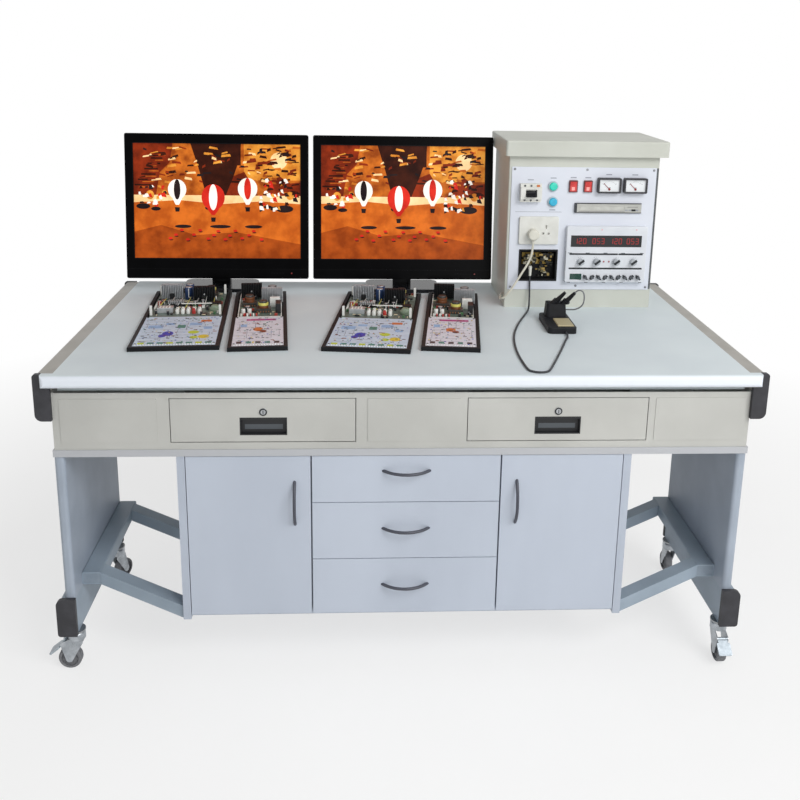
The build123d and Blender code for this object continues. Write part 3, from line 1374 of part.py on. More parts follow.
# Disc player: bezel and chassis with a slot, the disc tray that slides in it, and the eject button
player_x, player_z = on_panel(PLAYER_AT)
slot_x = player_x + TRAY_SLOT_SHIFT
with BuildPart() as disc_player:
    with BuildSketch(Plane.XZ.offset(-PANEL_Y)):
        with Locations((player_x, player_z)):
            RectangleRounded(*PLAYER_SIZE, CAP_EDGE)
    extrude(amount=PLAYER_PROUD)
    with BuildSketch(Plane.XZ.offset(-PANEL_Y)):
        with Locations((player_x, player_z)):
            Rectangle(player_hole[0] - 2 * SEAT_GAP, player_hole[1] - 2 * SEAT_GAP)
    extrude(amount=-PLAYER_DEPTH)
    with BuildSketch(Plane.XZ.offset(-(PANEL_Y - PLAYER_PROUD))):
        with Locations((slot_x, player_z)):
            Rectangle(*TRAY_SLOT)
    extrude(amount=-(PLAYER_PROUD + TRAY_LENGTH + CAP_EDGE), mode=Mode.SUBTRACT)
    with BuildSketch(Plane.XZ.offset(-(PANEL_Y - PLAYER_PROUD))):
        with Locations(on_panel(EJECT_AT)):
            Rectangle(EJECT_SIZE[0] + 2 * SEAT_GAP, EJECT_SIZE[1] + 2 * SEAT_GAP)
    extrude(amount=-EJECT_POCKET, mode=Mode.SUBTRACT)
write("disc_player", disc_player.part)

bed_width = TRAY_SLOT[0] - 2 * TRAY_FIT
bed_bottom = player_z - TRAY_SLOT[1] / 2 + SEAT_GAP
with BuildPart() as disc_tray:
    with BuildSketch(Plane.XZ.offset(-(PANEL_Y - PLAYER_PROUD))):
        with Locations((slot_x, player_z)):
            Rectangle(bed_width, TRAY_SLOT[1] - 2 * SEAT_GAP)
    extrude(amount=-TRAY_FRONT)
    with BuildSketch(Plane.XY.offset(bed_bottom)):
        with Locations((slot_x, PANEL_Y - PLAYER_PROUD + TRAY_LENGTH / 2)):
            Rectangle(bed_width, TRAY_LENGTH)
    extrude(amount=TRAY_BED)
    with BuildSketch(Plane.XY.offset(bed_bottom + TRAY_BED)):
        with Locations((slot_x, PANEL_Y - PLAYER_PROUD + TRAY_FRONT + DISC_RECESS_DIAMETER / 2 + 2)):
            Circle(DISC_RECESS_DIAMETER / 2)
    extrude(amount=-DISC_RECESS_DEPTH, mode=Mode.SUBTRACT)
write("disc_tray", disc_tray.part)
write(
    "eject_button",
    plate(on_panel(EJECT_AT), EJECT_SIZE, PANEL_Y - PLAYER_PROUD + EJECT_SEATED, EJECT_HEIGHT, 1),
)

# Socket plate: two round-pin gangs, the left one taken by the plug
socket_x, socket_z = on_panel(SOCKET_AT)
free_gang = socket_x + SOCKET_GANG
with BuildPart() as socket_plate:
    with BuildSketch(Plane.XZ.offset(-PANEL_Y)):
        with Locations((socket_x, socket_z)):
            RectangleRounded(*SOCKET_SIZE, SOCKET_ROUND)
    extrude(amount=SOCKET_DEPTH)
    fillet(socket_plate.faces().sort_by(Axis.Y)[0].edges(), CAP_EDGE)
    with BuildSketch(Plane.XZ.offset(-(PANEL_Y - SOCKET_DEPTH))):
        with Locations(
            (free_gang - SOCKET_PITCH / 2, socket_z - SOCKET_PITCH / 2),
            (free_gang + SOCKET_PITCH / 2, socket_z - SOCKET_PITCH / 2),
        ):
            Circle(SOCKET_HOLE / 2)
        with Locations((free_gang, socket_z + SOCKET_PITCH * 0.7)):
            Rectangle(*SOCKET_EARTH)
    extrude(amount=-SOCKET_HOLE_DEPTH, mode=Mode.SUBTRACT)
write("socket_plate", socket_plate.part)

# Jack window: open box behind the panel with two brass rails of jacks, and the iron cord's boot
window_x, window_z = on_panel(WINDOW_AT)
window_back = PANEL_Y + WINDOW_DEPTH
with BuildPart() as window_box:
    with BuildSketch(Plane.XZ.offset(-PANEL_Y)):
        with Locations((window_x, window_z)):
            Rectangle(WINDOW_SIZE[0] - 2 * SEAT_GAP, WINDOW_SIZE[1] - 2 * SEAT_GAP)
    extrude(amount=-WINDOW_DEPTH)
    with BuildSketch(Plane.XZ.offset(-PANEL_Y)):
        with Locations((window_x, window_z)):
            Rectangle(WINDOW_SIZE[0] + 2 * WINDOW_LIP, WINDOW_SIZE[1] + 2 * WINDOW_LIP)
    extrude(amount=WINDOW_WALL)
    with BuildSketch(Plane.XZ.offset(-(PANEL_Y - WINDOW_WALL))):
        with Locations((window_x, window_z)):
            Rectangle(
                WINDOW_SIZE[0] - 2 * SEAT_GAP - 2 * WINDOW_WALL,
                WINDOW_SIZE[1] - 2 * SEAT_GAP - 2 * WINDOW_WALL,
            )
    extrude(amount=-WINDOW_DEPTH, mode=Mode.SUBTRACT)

jack_back = window_back - WINDOW_WALL
jacks = []
for rise in (WINDOW_SIZE[1] * 0.3, WINDOW_SIZE[1] * 0.06):
    with BuildPart() as jack_rail:
        with BuildSketch(Plane.XZ.offset(-jack_back)):
            with Locations((window_x, window_z + rise)):
                Rectangle(WINDOW_SIZE[0] * 0.8, JACK_RAIL_HEIGHT)
        extrude(amount=JACK_RAIL_DEPTH)
        with BuildSketch(Plane.XZ.offset(-(jack_back - JACK_RAIL_DEPTH))):
            with Locations((window_x, window_z + rise)):
                with GridLocations(JACK_PITCH, 1, 4, 1):
                    Circle(JACK_DIAMETER / 2)
        extrude(amount=JACK_LENGTH)
    jacks.append(jack_rail.part)

# The iron cord's white boot clips to the window's lower edge and points down
iron_exit = (402, PANEL_Y - WINDOW_WALL - BOOT_DIAMETER / 2, 931)
with BuildPart() as boot:
    with BuildSketch(Plane.XY.offset(iron_exit[2])):
        with Locations(iron_exit[:2]):
            Circle(IRON_CORD_DIAMETER / 2 + 1)
    with BuildSketch(Plane.XY.offset(iron_exit[2] + BOOT_LENGTH)):
        with Locations(iron_exit[:2]):
            Circle(BOOT_DIAMETER / 2)
    loft(ruled=True)
    with BuildSketch(Plane.XZ.offset(-(iron_exit[1] + BOOT_DIAMETER / 4))):
        with Locations((iron_exit[0], iron_exit[2] + BOOT_LENGTH - BOOT_DIAMETER / 2)):
            Rectangle(BOOT_DIAMETER, BOOT_DIAMETER)
    extrude(amount=-(jack_back - iron_exit[1] - BOOT_DIAMETER / 4))
write("jack_window", window_box.part, *jacks, boot.part)

# Power supply: case with a sunk display, two grooves, bores for the knobs and a pocket for its rocker
supply_front = PANEL_Y - SUPPLY_DEPTH
knob_places = [on_panel((x, KNOB_Z)) for x in KNOB_XS]
with BuildPart() as supply:
    with BuildSketch(Plane.XZ.offset(-PANEL_Y)):
        with Locations(on_panel(SUPPLY_AT)):
            RectangleRounded(*SUPPLY_SIZE, SUPPLY_ROUND)
    extrude(amount=SUPPLY_DEPTH)
    fillet(supply.faces().sort_by(Axis.Y)[0].edges(), CAP_EDGE)
    with BuildSketch(Plane.XZ.offset(-supply_front)):
        with Locations(on_panel(DISPLAY_AT)):
            Rectangle(*DISPLAY_SIZE)
        with Locations(
            on_panel((SUPPLY_AT[0], UPPER_GROOVE_Z)), on_panel((SUPPLY_AT[0], LOWER_GROOVE_Z))
        ):
            Rectangle(GROOVE_LENGTH, GROOVE_HEIGHT)
    extrude(amount=-DISPLAY_DEPTH, mode=Mode.SUBTRACT)
    with BuildSketch(Plane.XZ.offset(-supply_front)):
        with Locations(*knob_places):
            Circle(KNOB_SHAFT / 2 + RUNNING_FIT)
    extrude(amount=-(KNOB_SHAFT_LENGTH + CAP_EDGE), mode=Mode.SUBTRACT)
    with BuildSketch(Plane.XZ.offset(-supply_front)):
        with Locations(on_panel(SUPPLY_ROCKER_AT)):
            Rectangle(
                SUPPLY_ROCKER_SIZE[0] + 2 * SEAT_GAP, SUPPLY_ROCKER_SIZE[1] + 2 * SEAT_GAP
            )
    extrude(amount=-ROCKER_POCKET, mode=Mode.SUBTRACT)
write("power_supply", supply.part)

for number, (x, z) in enumerate(knob_places, start=1):
    with BuildPart() as knob:
        with BuildSketch(Plane.XZ.offset(-(supply_front - SEAT_GAP))):
            with Locations((x, z)):
                Circle(KNOB_DIAMETER / 2)
        extrude(amount=KNOB_HEIGHT)
        chamfer(knob.faces().sort_by(Axis.Y)[0].edges(), CAP_EDGE)
        with BuildSketch(Plane.XZ.offset(-(supply_front - SEAT_GAP - KNOB_HEIGHT))):
            with Locations((x, z + KNOB_DIAMETER / 4)):
                Rectangle(KNOB_RIB, KNOB_DIAMETER / 2 - CAP_EDGE)
        extrude(amount=KNOB_RIB / 2)
        with BuildSketch(Plane.XZ.offset(-(supply_front - SEAT_GAP))):
            with Locations((x, z)):
                Circle(KNOB_SHAFT / 2)
        extrude(amount=-KNOB_SHAFT_LENGTH)
    write(f"supply_knob_{number}", knob.part)

rocker(
    "supply_rocker",
    SUPPLY_ROCKER_SIZE[1],
    SUPPLY_ROCKER_SIZE[0] / 2 - SEAT_GAP,
    SUPPLY_ROCKER_AT,
    supply_front + ROCKER_POCKET,
    False,
)

with BuildPart() as posts:
    with BuildSketch(Plane.XZ.offset(-supply_front)):
        with Locations(on_panel(POSTS_AT)):
            with GridLocations(POST_PITCH, 1, POST_COUNT, 1):
                RegularPolygon(POST_COLLAR / 2, 6)
    extrude(amount=POST_COLLAR_LENGTH)
    with BuildSketch(Plane.XZ.offset(-(supply_front - POST_COLLAR_LENGTH))):
        with Locations(on_panel(POSTS_AT)):
            with GridLocations(POST_PITCH, 1, POST_COUNT, 1):
                Circle(POST_DIAMETER / 2)
    extrude(amount=POST_LENGTH - POST_COLLAR_LENGTH)
with BuildPart() as lamps:
    with BuildSketch(Plane.XZ.offset(-supply_front)):
        with Locations(on_panel(LEDS_AT)):
            with GridLocations(LED_PITCH, 1, LED_COUNT, 1):
                Circle(LED_DIAMETER / 2)
    extrude(amount=CAP_EDGE)
write("supply_terminals", *posts.part.solids(), *lamps.part.solids())

# Board trays: black trays with a printed panel in front and an open circuit board behind
tray_places = (
    (WIDE_TRAY, WIDE_LEFT_AT, WIDE_LEFT_TURN),
    (NARROW_TRAY, NARROW_LEFT_AT, NARROW_LEFT_TURN),
    (WIDE_TRAY, WIDE_RIGHT_AT, WIDE_RIGHT_TURN),
    (NARROW_TRAY, NARROW_RIGHT_AT, NARROW_RIGHT_TURN),
)


def tray(size):
    """One tray on its own middle, with a pocket for the panel and the board."""
    pocket = (size[0] - 2 * TRAY_MARGIN, size[1] - 2 * TRAY_MARGIN)
    with BuildPart() as dish:
        with BuildSketch():
            Rectangle(*size)
        extrude(amount=TRAY_HEIGHT)
        chamfer(dish.faces().sort_by(Axis.Z)[-1].edges(), TRAY_CHAMFER)
        with BuildSketch(Plane.XY.offset(TRAY_FLOOR)):
            Rectangle(*pocket)
        extrude(amount=TRAY_HEIGHT, mode=Mode.SUBTRACT)
    return dish.part


def printed_panel(size):
    """The printed panel on its ledge in the tray's front half."""
    width = size[0] - 2 * TRAY_MARGIN
    front = -size[1] / 2 + TRAY_MARGIN
    return board(
        (-width / 2, width / 2),
        (front, front + PANEL_SHARE_FRONT),
        (TRAY_FLOOR, TRAY_FLOOR + PRINT_LIFT + PRINT_THICKNESS),
    )


def circuit_board(size):
    """The circuit board in the tray's rear half, with its supports under it."""
    half = size[0] / 2 - TRAY_MARGIN - CIRCUIT_INSET
    front = -size[1] / 2 + TRAY_MARGIN + PANEL_SHARE_FRONT + 2 * CIRCUIT_INSET
    rear = size[1] / 2 - TRAY_MARGIN - CIRCUIT_INSET
    with BuildPart() as circuit:
        with BuildSketch(Plane.XY.offset(CIRCUIT_LIFT)):
            with Locations((0, (front + rear) / 2)):
                Rectangle(2 * half, rear - front)
        extrude(amount=CIRCUIT_THICKNESS)
        with BuildSketch(Plane.XY.offset(TRAY_FLOOR)):
            with Locations((0, (front + rear) / 2)):
                with GridLocations(
                    2 * half - 2 * POST_SQUARE, rear - front - 2 * POST_SQUARE, 2, 2
                ):
                    Rectangle(POST_SQUARE, POST_SQUARE)
        extrude(amount=CIRCUIT_LIFT - TRAY_FLOOR)
    return circuit.part


board_top = CIRCUIT_LIFT + CIRCUIT_THICKNESS


def upright_can(diameter, height, at):
    """A round capacitor or coil standing on the circuit board."""
    with BuildPart() as can:
        with BuildSketch(Plane.XY.offset(board_top)):
            with Locations(at):
                Circle(diameter / 2)
        extrude(amount=height)
    return can.part


def heat_sink(at):
    """A finned heat sink standing across the board."""
    with BuildPart() as sink:
        with BuildSketch(Plane.XY.offset(board_top)):
            with Locations(at):
                with Locations((0, SINK_DEPTH / 2 - SINK_SPINE / 2)):
                    Rectangle(SINK_WIDTH, SINK_SPINE)
                with GridLocations((SINK_WIDTH - SINK_FIN) / (SINK_FIN_COUNT - 1), 1, SINK_FIN_COUNT, 1):
                    Rectangle(SINK_FIN, SINK_DEPTH)
        extrude(amount=SINK_HEIGHT)
    return sink.part


def transformer(at):
    """A wound transformer: flat core, round coil and a top yoke."""
    with BuildPart() as wound:
        with BuildSketch(Plane.XY.offset(board_top)):
            with Locations(at):
                Rectangle(TRANSFORMER_CORE[0], TRANSFORMER_CORE[1])
        extrude(amount=TRANSFORMER_CORE[2])
        with BuildSketch(Plane.XY.offset(board_top + TRANSFORMER_CORE[2])):
            with Locations(at):
                Circle(TRANSFORMER_COIL / 2)
        extrude(amount=TRANSFORMER_HEIGHT - TRANSFORMER_CORE[2])
    return wound.part


def block(at, size):
    """A boxed component such as a tuner or a relay."""
    return board(
        (at[0] - size[0] / 2, at[0] + size[0] / 2),
        (at[1] - size[1] / 2, at[1] + size[1] / 2),
        (board_top, board_top + size[2]),
    )


def corner_posts(size):
    """Square posts that stand at the corners of the circuit board."""
    half = size[0] / 2 - TRAY_MARGIN - 2 * CIRCUIT_INSET
    posts_here = []
    for x in (-half, half):
        for y in (2 * SOCKET_BODY, size[1] / 2 - 3 * TRAY_MARGIN):
            posts_here.append(block((x, y), (POST_SQUARE, POST_SQUARE, POST_HEIGHT)))
    return posts_here


def audio_sockets(at):
    """Two rows of five round sockets."""
    with BuildPart() as sockets:
        with BuildSketch(Plane.XY.offset(board_top)):
            with Locations(at):
                with GridLocations(SOCKET_BODY * 1.45, SOCKET_BODY * 1.45, 5, 2):
                    Circle(SOCKET_BODY / 2)
        extrude(amount=SOCKET_BODY_HEIGHT)
    return sockets.part.solids()


def wide_board_parts():
    """What stands on the wide circuit board."""
    return [
        *corner_posts(WIDE_TRAY),
        *audio_sockets((6, 42)),
        block((-62, 58), TUNER_SIZE),
        heat_sink((-58, 208)),
        heat_sink((42, 176)),
        upright_can(CAN_LARGE * 1.3, CAN_SMALL_HEIGHT, (82, 62)),
        upright_can(CAN_LARGE, CAN_LARGE_HEIGHT, (-8, 208)),
        upright_can(CAN_LARGE, CAN_LARGE_HEIGHT, (-8, 244)),
        transformer((58, 234)),
        block((-38, 128), (52, 26, TUNER_SIZE[2])),
        upright_can(CAN_SMALL, CAN_SMALL_HEIGHT, (20, 110)),
        upright_can(CAN_SMALL, CAN_SMALL_HEIGHT, (42, 122)),
        upright_can(CAN_SMALL, CAN_SMALL_HEIGHT, (-86, 118)),
    ]


def narrow_board_parts():
    """What stands on the narrow circuit board."""
    return [
        transformer((10, 66)),
        transformer((-32, 134)),
        heat_sink((-28, 226)),
        heat_sink((36, 168)),
        block((54, 62), (TUNER_SIZE[2], TUNER_SIZE[0], TUNER_SIZE[1])),
        block((44, 116), (TUNER_SIZE[1], TUNER_SIZE[2], TUNER_SIZE[1])),
        upright_can(CAN_SMALL, CAN_SMALL_HEIGHT, (-48, 36)),
        upright_can(CAN_SMALL, CAN_SMALL_HEIGHT, (-30, 36)),
        upright_can(CAN_SMALL * 1.4, CAN_SMALL_HEIGHT, (-36, 62)),
        upright_can(CAN_LARGE, CAN_LARGE_HEIGHT, (36, 232)),
    ]


tray_solids = []
board_solids = []
component_solids = []
for size, at, turn in tray_places:
    place = Location((at[0], at[1], TOP_HEIGHT), (0, 0, turn))
    parts_here = wide_board_parts() if size == WIDE_TRAY else narrow_board_parts()
    tray_solids.append(tray(size).moved(place))
    board_solids += [printed_panel(size).moved(place), circuit_board(size).moved(place)]
    component_solids += [piece.moved(place) for piece in parts_here]
write("board_trays", *tray_solids)
write("circuit_boards", *board_solids)
write("board_components", *component_solids)

# Soldering stand: base with a sponge, holder block, and two irons that lean out of it
base_middle = (STAND_X, SOLDER_FRONT_Y + SOLDER_DEPTH / 2)
base_top = TOP_HEIGHT + SOLDER_HEIGHT
sponge_at = (STAND_X + SPONGE_AT[0], SOLDER_FRONT_Y + SPONGE_AT[1])
holder_at = (STAND_X + HOLDER_AT[0], SOLDER_FRONT_Y + HOLDER_AT[1])
with BuildPart() as solder_base:
    with BuildSketch(Plane.XY.offset(TOP_HEIGHT)):
        with Locations(base_middle):
            RectangleRounded(SOLDER_WIDTH, SOLDER_DEPTH, SOLDER_ROUND)
    extrude(amount=SOLDER_HEIGHT)
    fillet(solder_base.faces().sort_by(Axis.Z)[-1].edges(), CAP_EDGE)
    with BuildSketch(Plane.XY.offset(base_top)):
        with Locations(sponge_at):
            Rectangle(*SPONGE_SIZE)
    extrude(amount=-SPONGE_POCKET, mode=Mode.SUBTRACT)
with BuildPart() as sponge:
    with BuildSketch(Plane.XY.offset(base_top - SPONGE_POCKET)):
        with Locations(sponge_at):
            Rectangle(*SPONGE_SIZE)
    extrude(amount=SPONGE_POCKET + SPONGE_PROUD)
    fillet(sponge.faces().sort_by(Axis.Z)[-1].edges(), CAP_EDGE)
with BuildPart() as holder:
    with BuildSketch(Plane.XY.offset(base_top)):
        with Locations(holder_at):
            RectangleRounded(*HOLDER_SIZE, HOLDER_ROUND)
    extrude(amount=HOLDER_HEIGHT, taper=5)
lean_x, lean_y = tan(radians(IRON_LEAN_X)), -tan(radians(IRON_LEAN_Y))
holder_top = base_top + HOLDER_HEIGHT


def iron_foot(at):
    """The leaning plane that an iron stands on, just inside the holder."""
    return Plane(
        origin=(STAND_X + at[0], SOLDER_FRONT_Y + at[1], holder_top - IRON_DIAMETER / 2),
        x_dir=(0, 1, 0),
        z_dir=(lean_x, lean_y, 1),
    )


def iron(foot):
    """A soldering iron's collar and tapered handle, leaning out of the holder's top."""
    with BuildPart() as handle:
        with BuildSketch(foot):
            Circle(IRON_COLLAR / 2)
        extrude(amount=IRON_COLLAR)
        with BuildSketch(foot.offset(IRON_COLLAR)):
            Circle(IRON_DIAMETER / 2)
        with BuildSketch(foot.offset(IRON_LENGTH)):
            Circle(IRON_DIAMETER / 2 - IRON_TAPER)
        loft(ruled=True)
        split(bisect_by=Plane.XY.offset(holder_top), keep=Keep.TOP)
    return handle.part


first_iron_foot = iron_foot(FIRST_IRON_AT)
irons = [iron(first_iron_foot), iron(iron_foot(SECOND_IRON_AT))]
write("soldering_stand", solder_base.part, sponge.part, holder.part, *irons)

# Power plug: round body on the left gang, with a boot that points down to the cord
plug_x, plug_z = on_panel(PLUG_AT)
plug_back = PANEL_Y - SOCKET_DEPTH
boot_z = plug_z - PLUG_DIAMETER / 2 - PLUG_BOOT_LENGTH
cord_y = plug_back - PLUG_DEPTH / 2
with BuildPart() as plug:
    with BuildSketch(Plane.XZ.offset(-plug_back)):
        with Locations((plug_x, plug_z)):
            Circle(PLUG_DIAMETER / 2)
    extrude(amount=PLUG_DEPTH)
    fillet(plug.faces().sort_by(Axis.Y)[0].edges(), PLUG_EDGE)
    with BuildSketch(Plane.XY.offset(boot_z)):
        with Locations((plug_x, cord_y)):
            Circle(POWER_CORD_DIAMETER / 2 + 1)
    with BuildSketch(Plane.XY.offset(plug_z - PLUG_DIAMETER / 4)):
        with Locations((plug_x, cord_y)):
            Circle(PLUG_BOOT / 2)
    loft(ruled=True)
write("power_plug", plug.part)


# Cords: straight runs joined by arcs as large as the runs allow
def cord(name, points, diameter):
    """A tube along the points, and its radii for the log."""
    stops = [Vector(*point) for point in points]
    runs = [after - before for before, after in zip(stops, stops[1:])]
    radii = []
    for before, after in zip(runs, runs[1:]):
        half_turn = radians(before.get_angle(after)) / 2
        radii.append(0.45 * min(before.length, after.length) / tan(half_turn))
    print(name, "radii", [round(radius) for radius in radii])
    with BuildPart() as tube:
        with BuildLine() as path:
            FilletPolyline(*stops, radius=radii)
        with BuildSketch(Plane(origin=path.line @ 0, z_dir=path.line % 0)):
            Circle(diameter / 2)
        sweep()
    length = sum(edge.length for edge in path.edges())
    share = tube.part.volume / (length * 3.14159265 * diameter**2 / 4)
    print(name, "length", round(length), "volume over section times length", round(share, 4))
    return tube.part


gland_end = [gland_root[axis] + GLAND_LENGTH * gland_out[axis] for axis in range(3)]
gland_run = [gland_end[axis] + GLAND_STRAIGHT * gland_out[axis] for axis in range(3)]
power_cord_points = (
    (plug_x, cord_y, boot_z),
    (plug_x, cord_y, boot_z - 26),
    (plug_x - 10, cord_y - 3, boot_z - 57),
    (plug_x - 32, cord_y - 6, boot_z - 93),
    (plug_x - 53, cord_y - 10, boot_z - 127),
    (plug_x - 68, cord_y - 10, boot_z - 151),
    (plug_x - 84, cord_y - 2, boot_z - 171),
    tuple(gland_run),
    tuple(gland_end),
)
write("power_cord", cord("power_cord", power_cord_points, POWER_CORD_DIAMETER))

iron_rest = TOP_HEIGHT + IRON_CORD_DIAMETER / 2 + SEAT_GAP
iron_end = (STAND_X + 9, SOLDER_FRONT_Y, iron_rest + 2)
iron_cord_points = (
    iron_exit,
    (iron_exit[0], iron_exit[1], 900),
    (403, iron_exit[1] - 4, 868),
    (401, iron_exit[1] - 15, 843),
    (395, iron_exit[1] - 38, iron_rest),
    (384, 96, iron_rest),
    (365, 46, iron_rest),
    (344, -12, iron_rest),
    (325, -74, iron_rest),
    (310, -138, iron_rest),
    (301, -204, iron_rest),
    (296, -270, iron_rest),
    (295, -334, iron_rest),
    (300, -429, iron_rest),
    (309.5, -443, iron_rest),
    (325, -450, iron_rest),
    (341.8, -448, iron_rest),
    (355, -437, iron_rest),
    (375, -384, iron_rest),
    (394, -333, iron_rest),
    (413, -281, iron_rest),
    (431, -230, iron_rest),
    (447, -182, iron_rest),
    (iron_end[0], iron_end[1] - 36, iron_end[2]),
    iron_end,
)
lead_start = first_iron_foot.origin + first_iron_foot.z_dir * IRON_LENGTH
lead_run = lead_start + first_iron_foot.z_dir * IRON_LEAD_DIAMETER * 3
iron_lead_points = (
    tuple(lead_start),
    tuple(lead_run),
    (520.6, -23.8, 932.6),
    (528.1, -28.4, 925.1),
    (529.5, -28, 900),
    (524, -20, 882),
    (508, -4, 869),
    (496, 5, 867),
    (484.4, 8, 866),
)
write(
    "iron_cord",
    cord("iron_cord", iron_cord_points, IRON_CORD_DIAMETER),
    cord("iron_lead", iron_lead_points, IRON_LEAD_DIAMETER),
)
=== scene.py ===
"""Television assembly trainer: finishes, pictures, boards, cords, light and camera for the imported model."""

import math
import random

import bmesh
import bpy
from mathutils import Matrix, Vector


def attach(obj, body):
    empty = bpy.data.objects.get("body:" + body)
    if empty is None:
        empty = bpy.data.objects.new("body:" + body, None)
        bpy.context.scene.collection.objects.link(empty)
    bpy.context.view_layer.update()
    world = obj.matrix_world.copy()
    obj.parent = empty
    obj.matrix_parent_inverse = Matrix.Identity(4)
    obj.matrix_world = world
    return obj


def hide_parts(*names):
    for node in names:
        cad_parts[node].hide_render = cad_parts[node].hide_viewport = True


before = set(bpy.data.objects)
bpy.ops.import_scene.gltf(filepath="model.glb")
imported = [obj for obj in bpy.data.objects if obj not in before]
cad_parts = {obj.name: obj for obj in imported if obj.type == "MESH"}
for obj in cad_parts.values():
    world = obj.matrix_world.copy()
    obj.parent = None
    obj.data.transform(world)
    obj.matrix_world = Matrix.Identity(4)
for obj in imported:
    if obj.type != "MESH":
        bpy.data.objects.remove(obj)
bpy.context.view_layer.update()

bl_info = {
    "name": "Television assembly trainer",
    "version": (1, 0, 0),
    "blender": (4, 5, 0),
    "location": "3D View > Sidebar > Trainer",
    "description": "Dresses the packed trainer bench and sets up its stage",
    "category": "Object",
}

MM = 0.001
WORKTOP_Z = 828
CONSOLE_X = 555
PANEL_Y = 172
SUPPLY_Y = 154
DRAWER_PLACES = {"left": -358, "right": 380}
LOCK_Z = 726.5
LOCK_FRONT = -447
TUBE_X = 825
TUBE_FRONT = -378
METER_PLACES = (630.5, 710.5)
METER_HUB = 372
ROCKER_PLACES = (522, 567)
KNOB_PLACES = (-1, 49, 109, 162)
KNOB_LEVEL = 151
TERMINALS = 9
TERMINAL_LEFT = 16
TERMINAL_PITCH = 20.5
TERMINAL_LEVEL = 102
TV_TILT = math.radians(8)
TV_PLACES = {"tv_left": -579, "tv_right": 18}
BOARD_PLACES = {
    "wide_left": (-628, 26, 4.2),
    "narrow_left": (-412, 20, 4.8),
    "wide_right": (-73, 11, -6.1),
    "narrow_right": (150, 15, -5.8),
}
BOARD_TOP = 8.6
PRINT_TOP = 11.0
BENCH = Matrix.Scale(MM, 4)


# Node and colour helpers


def tone(code):
    """A colour written as six hex digits, as the linear values that shaders take."""
    channels = []
    for start in (0, 2, 4):
        level = int(code[start : start + 2], 16) / 255
        channels.append(level / 12.92 if level <= 0.04045 else ((level + 0.055) / 1.055) ** 2.4)
    return (*channels, 1.0)


def add(tree, kind, **settings):
    """A new node with its own settings."""
    node = tree.nodes.new(kind)
    for name, value in settings.items():
        setattr(node, name, value)
    return node


def feed(tree, node, socket, value):
    """Sets an input, or links it where the value is another node's output."""
    if isinstance(value, bpy.types.NodeSocket):
        tree.links.new(value, node.inputs[socket])
    else:
        node.inputs[socket].default_value = value


def mixed(tree, factor, first, second):
    """Two colours mixed by a factor."""
    node = add(tree, "ShaderNodeMix", data_type="RGBA")
    feed(tree, node, 0, factor)
    feed(tree, node, 6, first)
    feed(tree, node, 7, second)
    return node.outputs[2]


def sums(tree, operation, *values):
    """One arithmetic step."""
    node = add(tree, "ShaderNodeMath", operation=operation)
    for index, value in enumerate(values):
        feed(tree, node, index, value)
    return node.outputs[0]


def remapped(tree, value, low, high, start, end):
    """A value taken from low..high to start..end."""
    node = add(tree, "ShaderNodeMapRange")
    feed(tree, node, "Value", value)
    feed(tree, node, "From Min", low)
    feed(tree, node, "From Max", high)
    feed(tree, node, "To Min", start)
    feed(tree, node, "To Max", end)
    return node.outputs[0]


def noise(tree, vector, scale, detail):
    """A noise pattern's value."""
    node = add(tree, "ShaderNodeTexNoise")
    feed(tree, node, "Vector", vector)
    feed(tree, node, "Scale", scale)
    feed(tree, node, "Detail", detail)
    return node.outputs[0]


def box_mask(tree, place, low, high):
    """1 inside a box in millimetres, and 0 outside it."""
    parts = add(tree, "ShaderNodeSeparateXYZ")
    tree.links.new(place, parts.inputs[0])
    found = []
    for axis in range(3):
        middle = (low[axis] + high[axis]) / 2 * MM
        half = (high[axis] - low[axis]) / 2 * MM
        found.append(sums(tree, "COMPARE", parts.outputs[axis], middle, half))
    return sums(tree, "MULTIPLY", sums(tree, "MULTIPLY", found[0], found[1]), found[2])


def surface(
    name,
    base,
    deep,
    rough=(0.42, 0.55),
    patch=9.0,
    stretch=(1, 1, 1),
    grain=700.0,
    bump=0.08,
    metallic=0.0,
    coat=0.0,
    glow=0.0,
    sheen=0.5,
    zones=(),
):
    """A finish with drifting colour, uneven gloss and a fine grain; zones are boxes of another colour."""
    material = bpy.data.materials.new(name)
    material.use_nodes = True
    tree = material.node_tree
    shader = tree.nodes["Principled BSDF"]
    place = add(tree, "ShaderNodeTexCoord").outputs["Object"]
    mapping = add(tree, "ShaderNodeMapping")
    tree.links.new(place, mapping.inputs["Vector"])
    mapping.inputs["Scale"].default_value = stretch
    drift = noise(tree, mapping.outputs[0], patch, 5)
    colour = mixed(tree, remapped(tree, drift, 0.36, 0.64, 0, 1), tone(base), tone(deep))
    for low, high, other in zones:
        colour = mixed(tree, box_mask(tree, place, low, high), colour, tone(other))
    tree.links.new(colour, shader.inputs["Base Color"])
    fine = noise(tree, mapping.outputs[0], grain, 3)
    tree.links.new(remapped(tree, fine, 0.3, 0.7, *rough), shader.inputs["Roughness"])
    relief = add(tree, "ShaderNodeBump")
    relief.inputs["Strength"].default_value = bump
    relief.inputs["Distance"].default_value = 0.0006
    tree.links.new(fine, relief.inputs["Height"])
    tree.links.new(relief.outputs[0], shader.inputs["Normal"])
    shader.inputs["Metallic"].default_value = metallic
    shader.inputs["Coat Weight"].default_value = coat
    shader.inputs["Coat Roughness"].default_value = 0.12
    shader.inputs["Specular IOR Level"].default_value = sheen
    if glow:
        tree.links.new(colour, shader.inputs["Emission Color"])
        shader.inputs["Emission Strength"].default_value = glow
    return material


def dress(material, *names):
    """Gives CAD nodes a finish by their own material slots."""
    for name in names:
        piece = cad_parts[name]
        if not piece.material_slots:
            raise RuntimeError(f"{name} has no material slot")
        for slot in piece.material_slots:
            slot.material = material


# Mesh helpers: shapes are made in a piece's own millimetres and placed as a whole


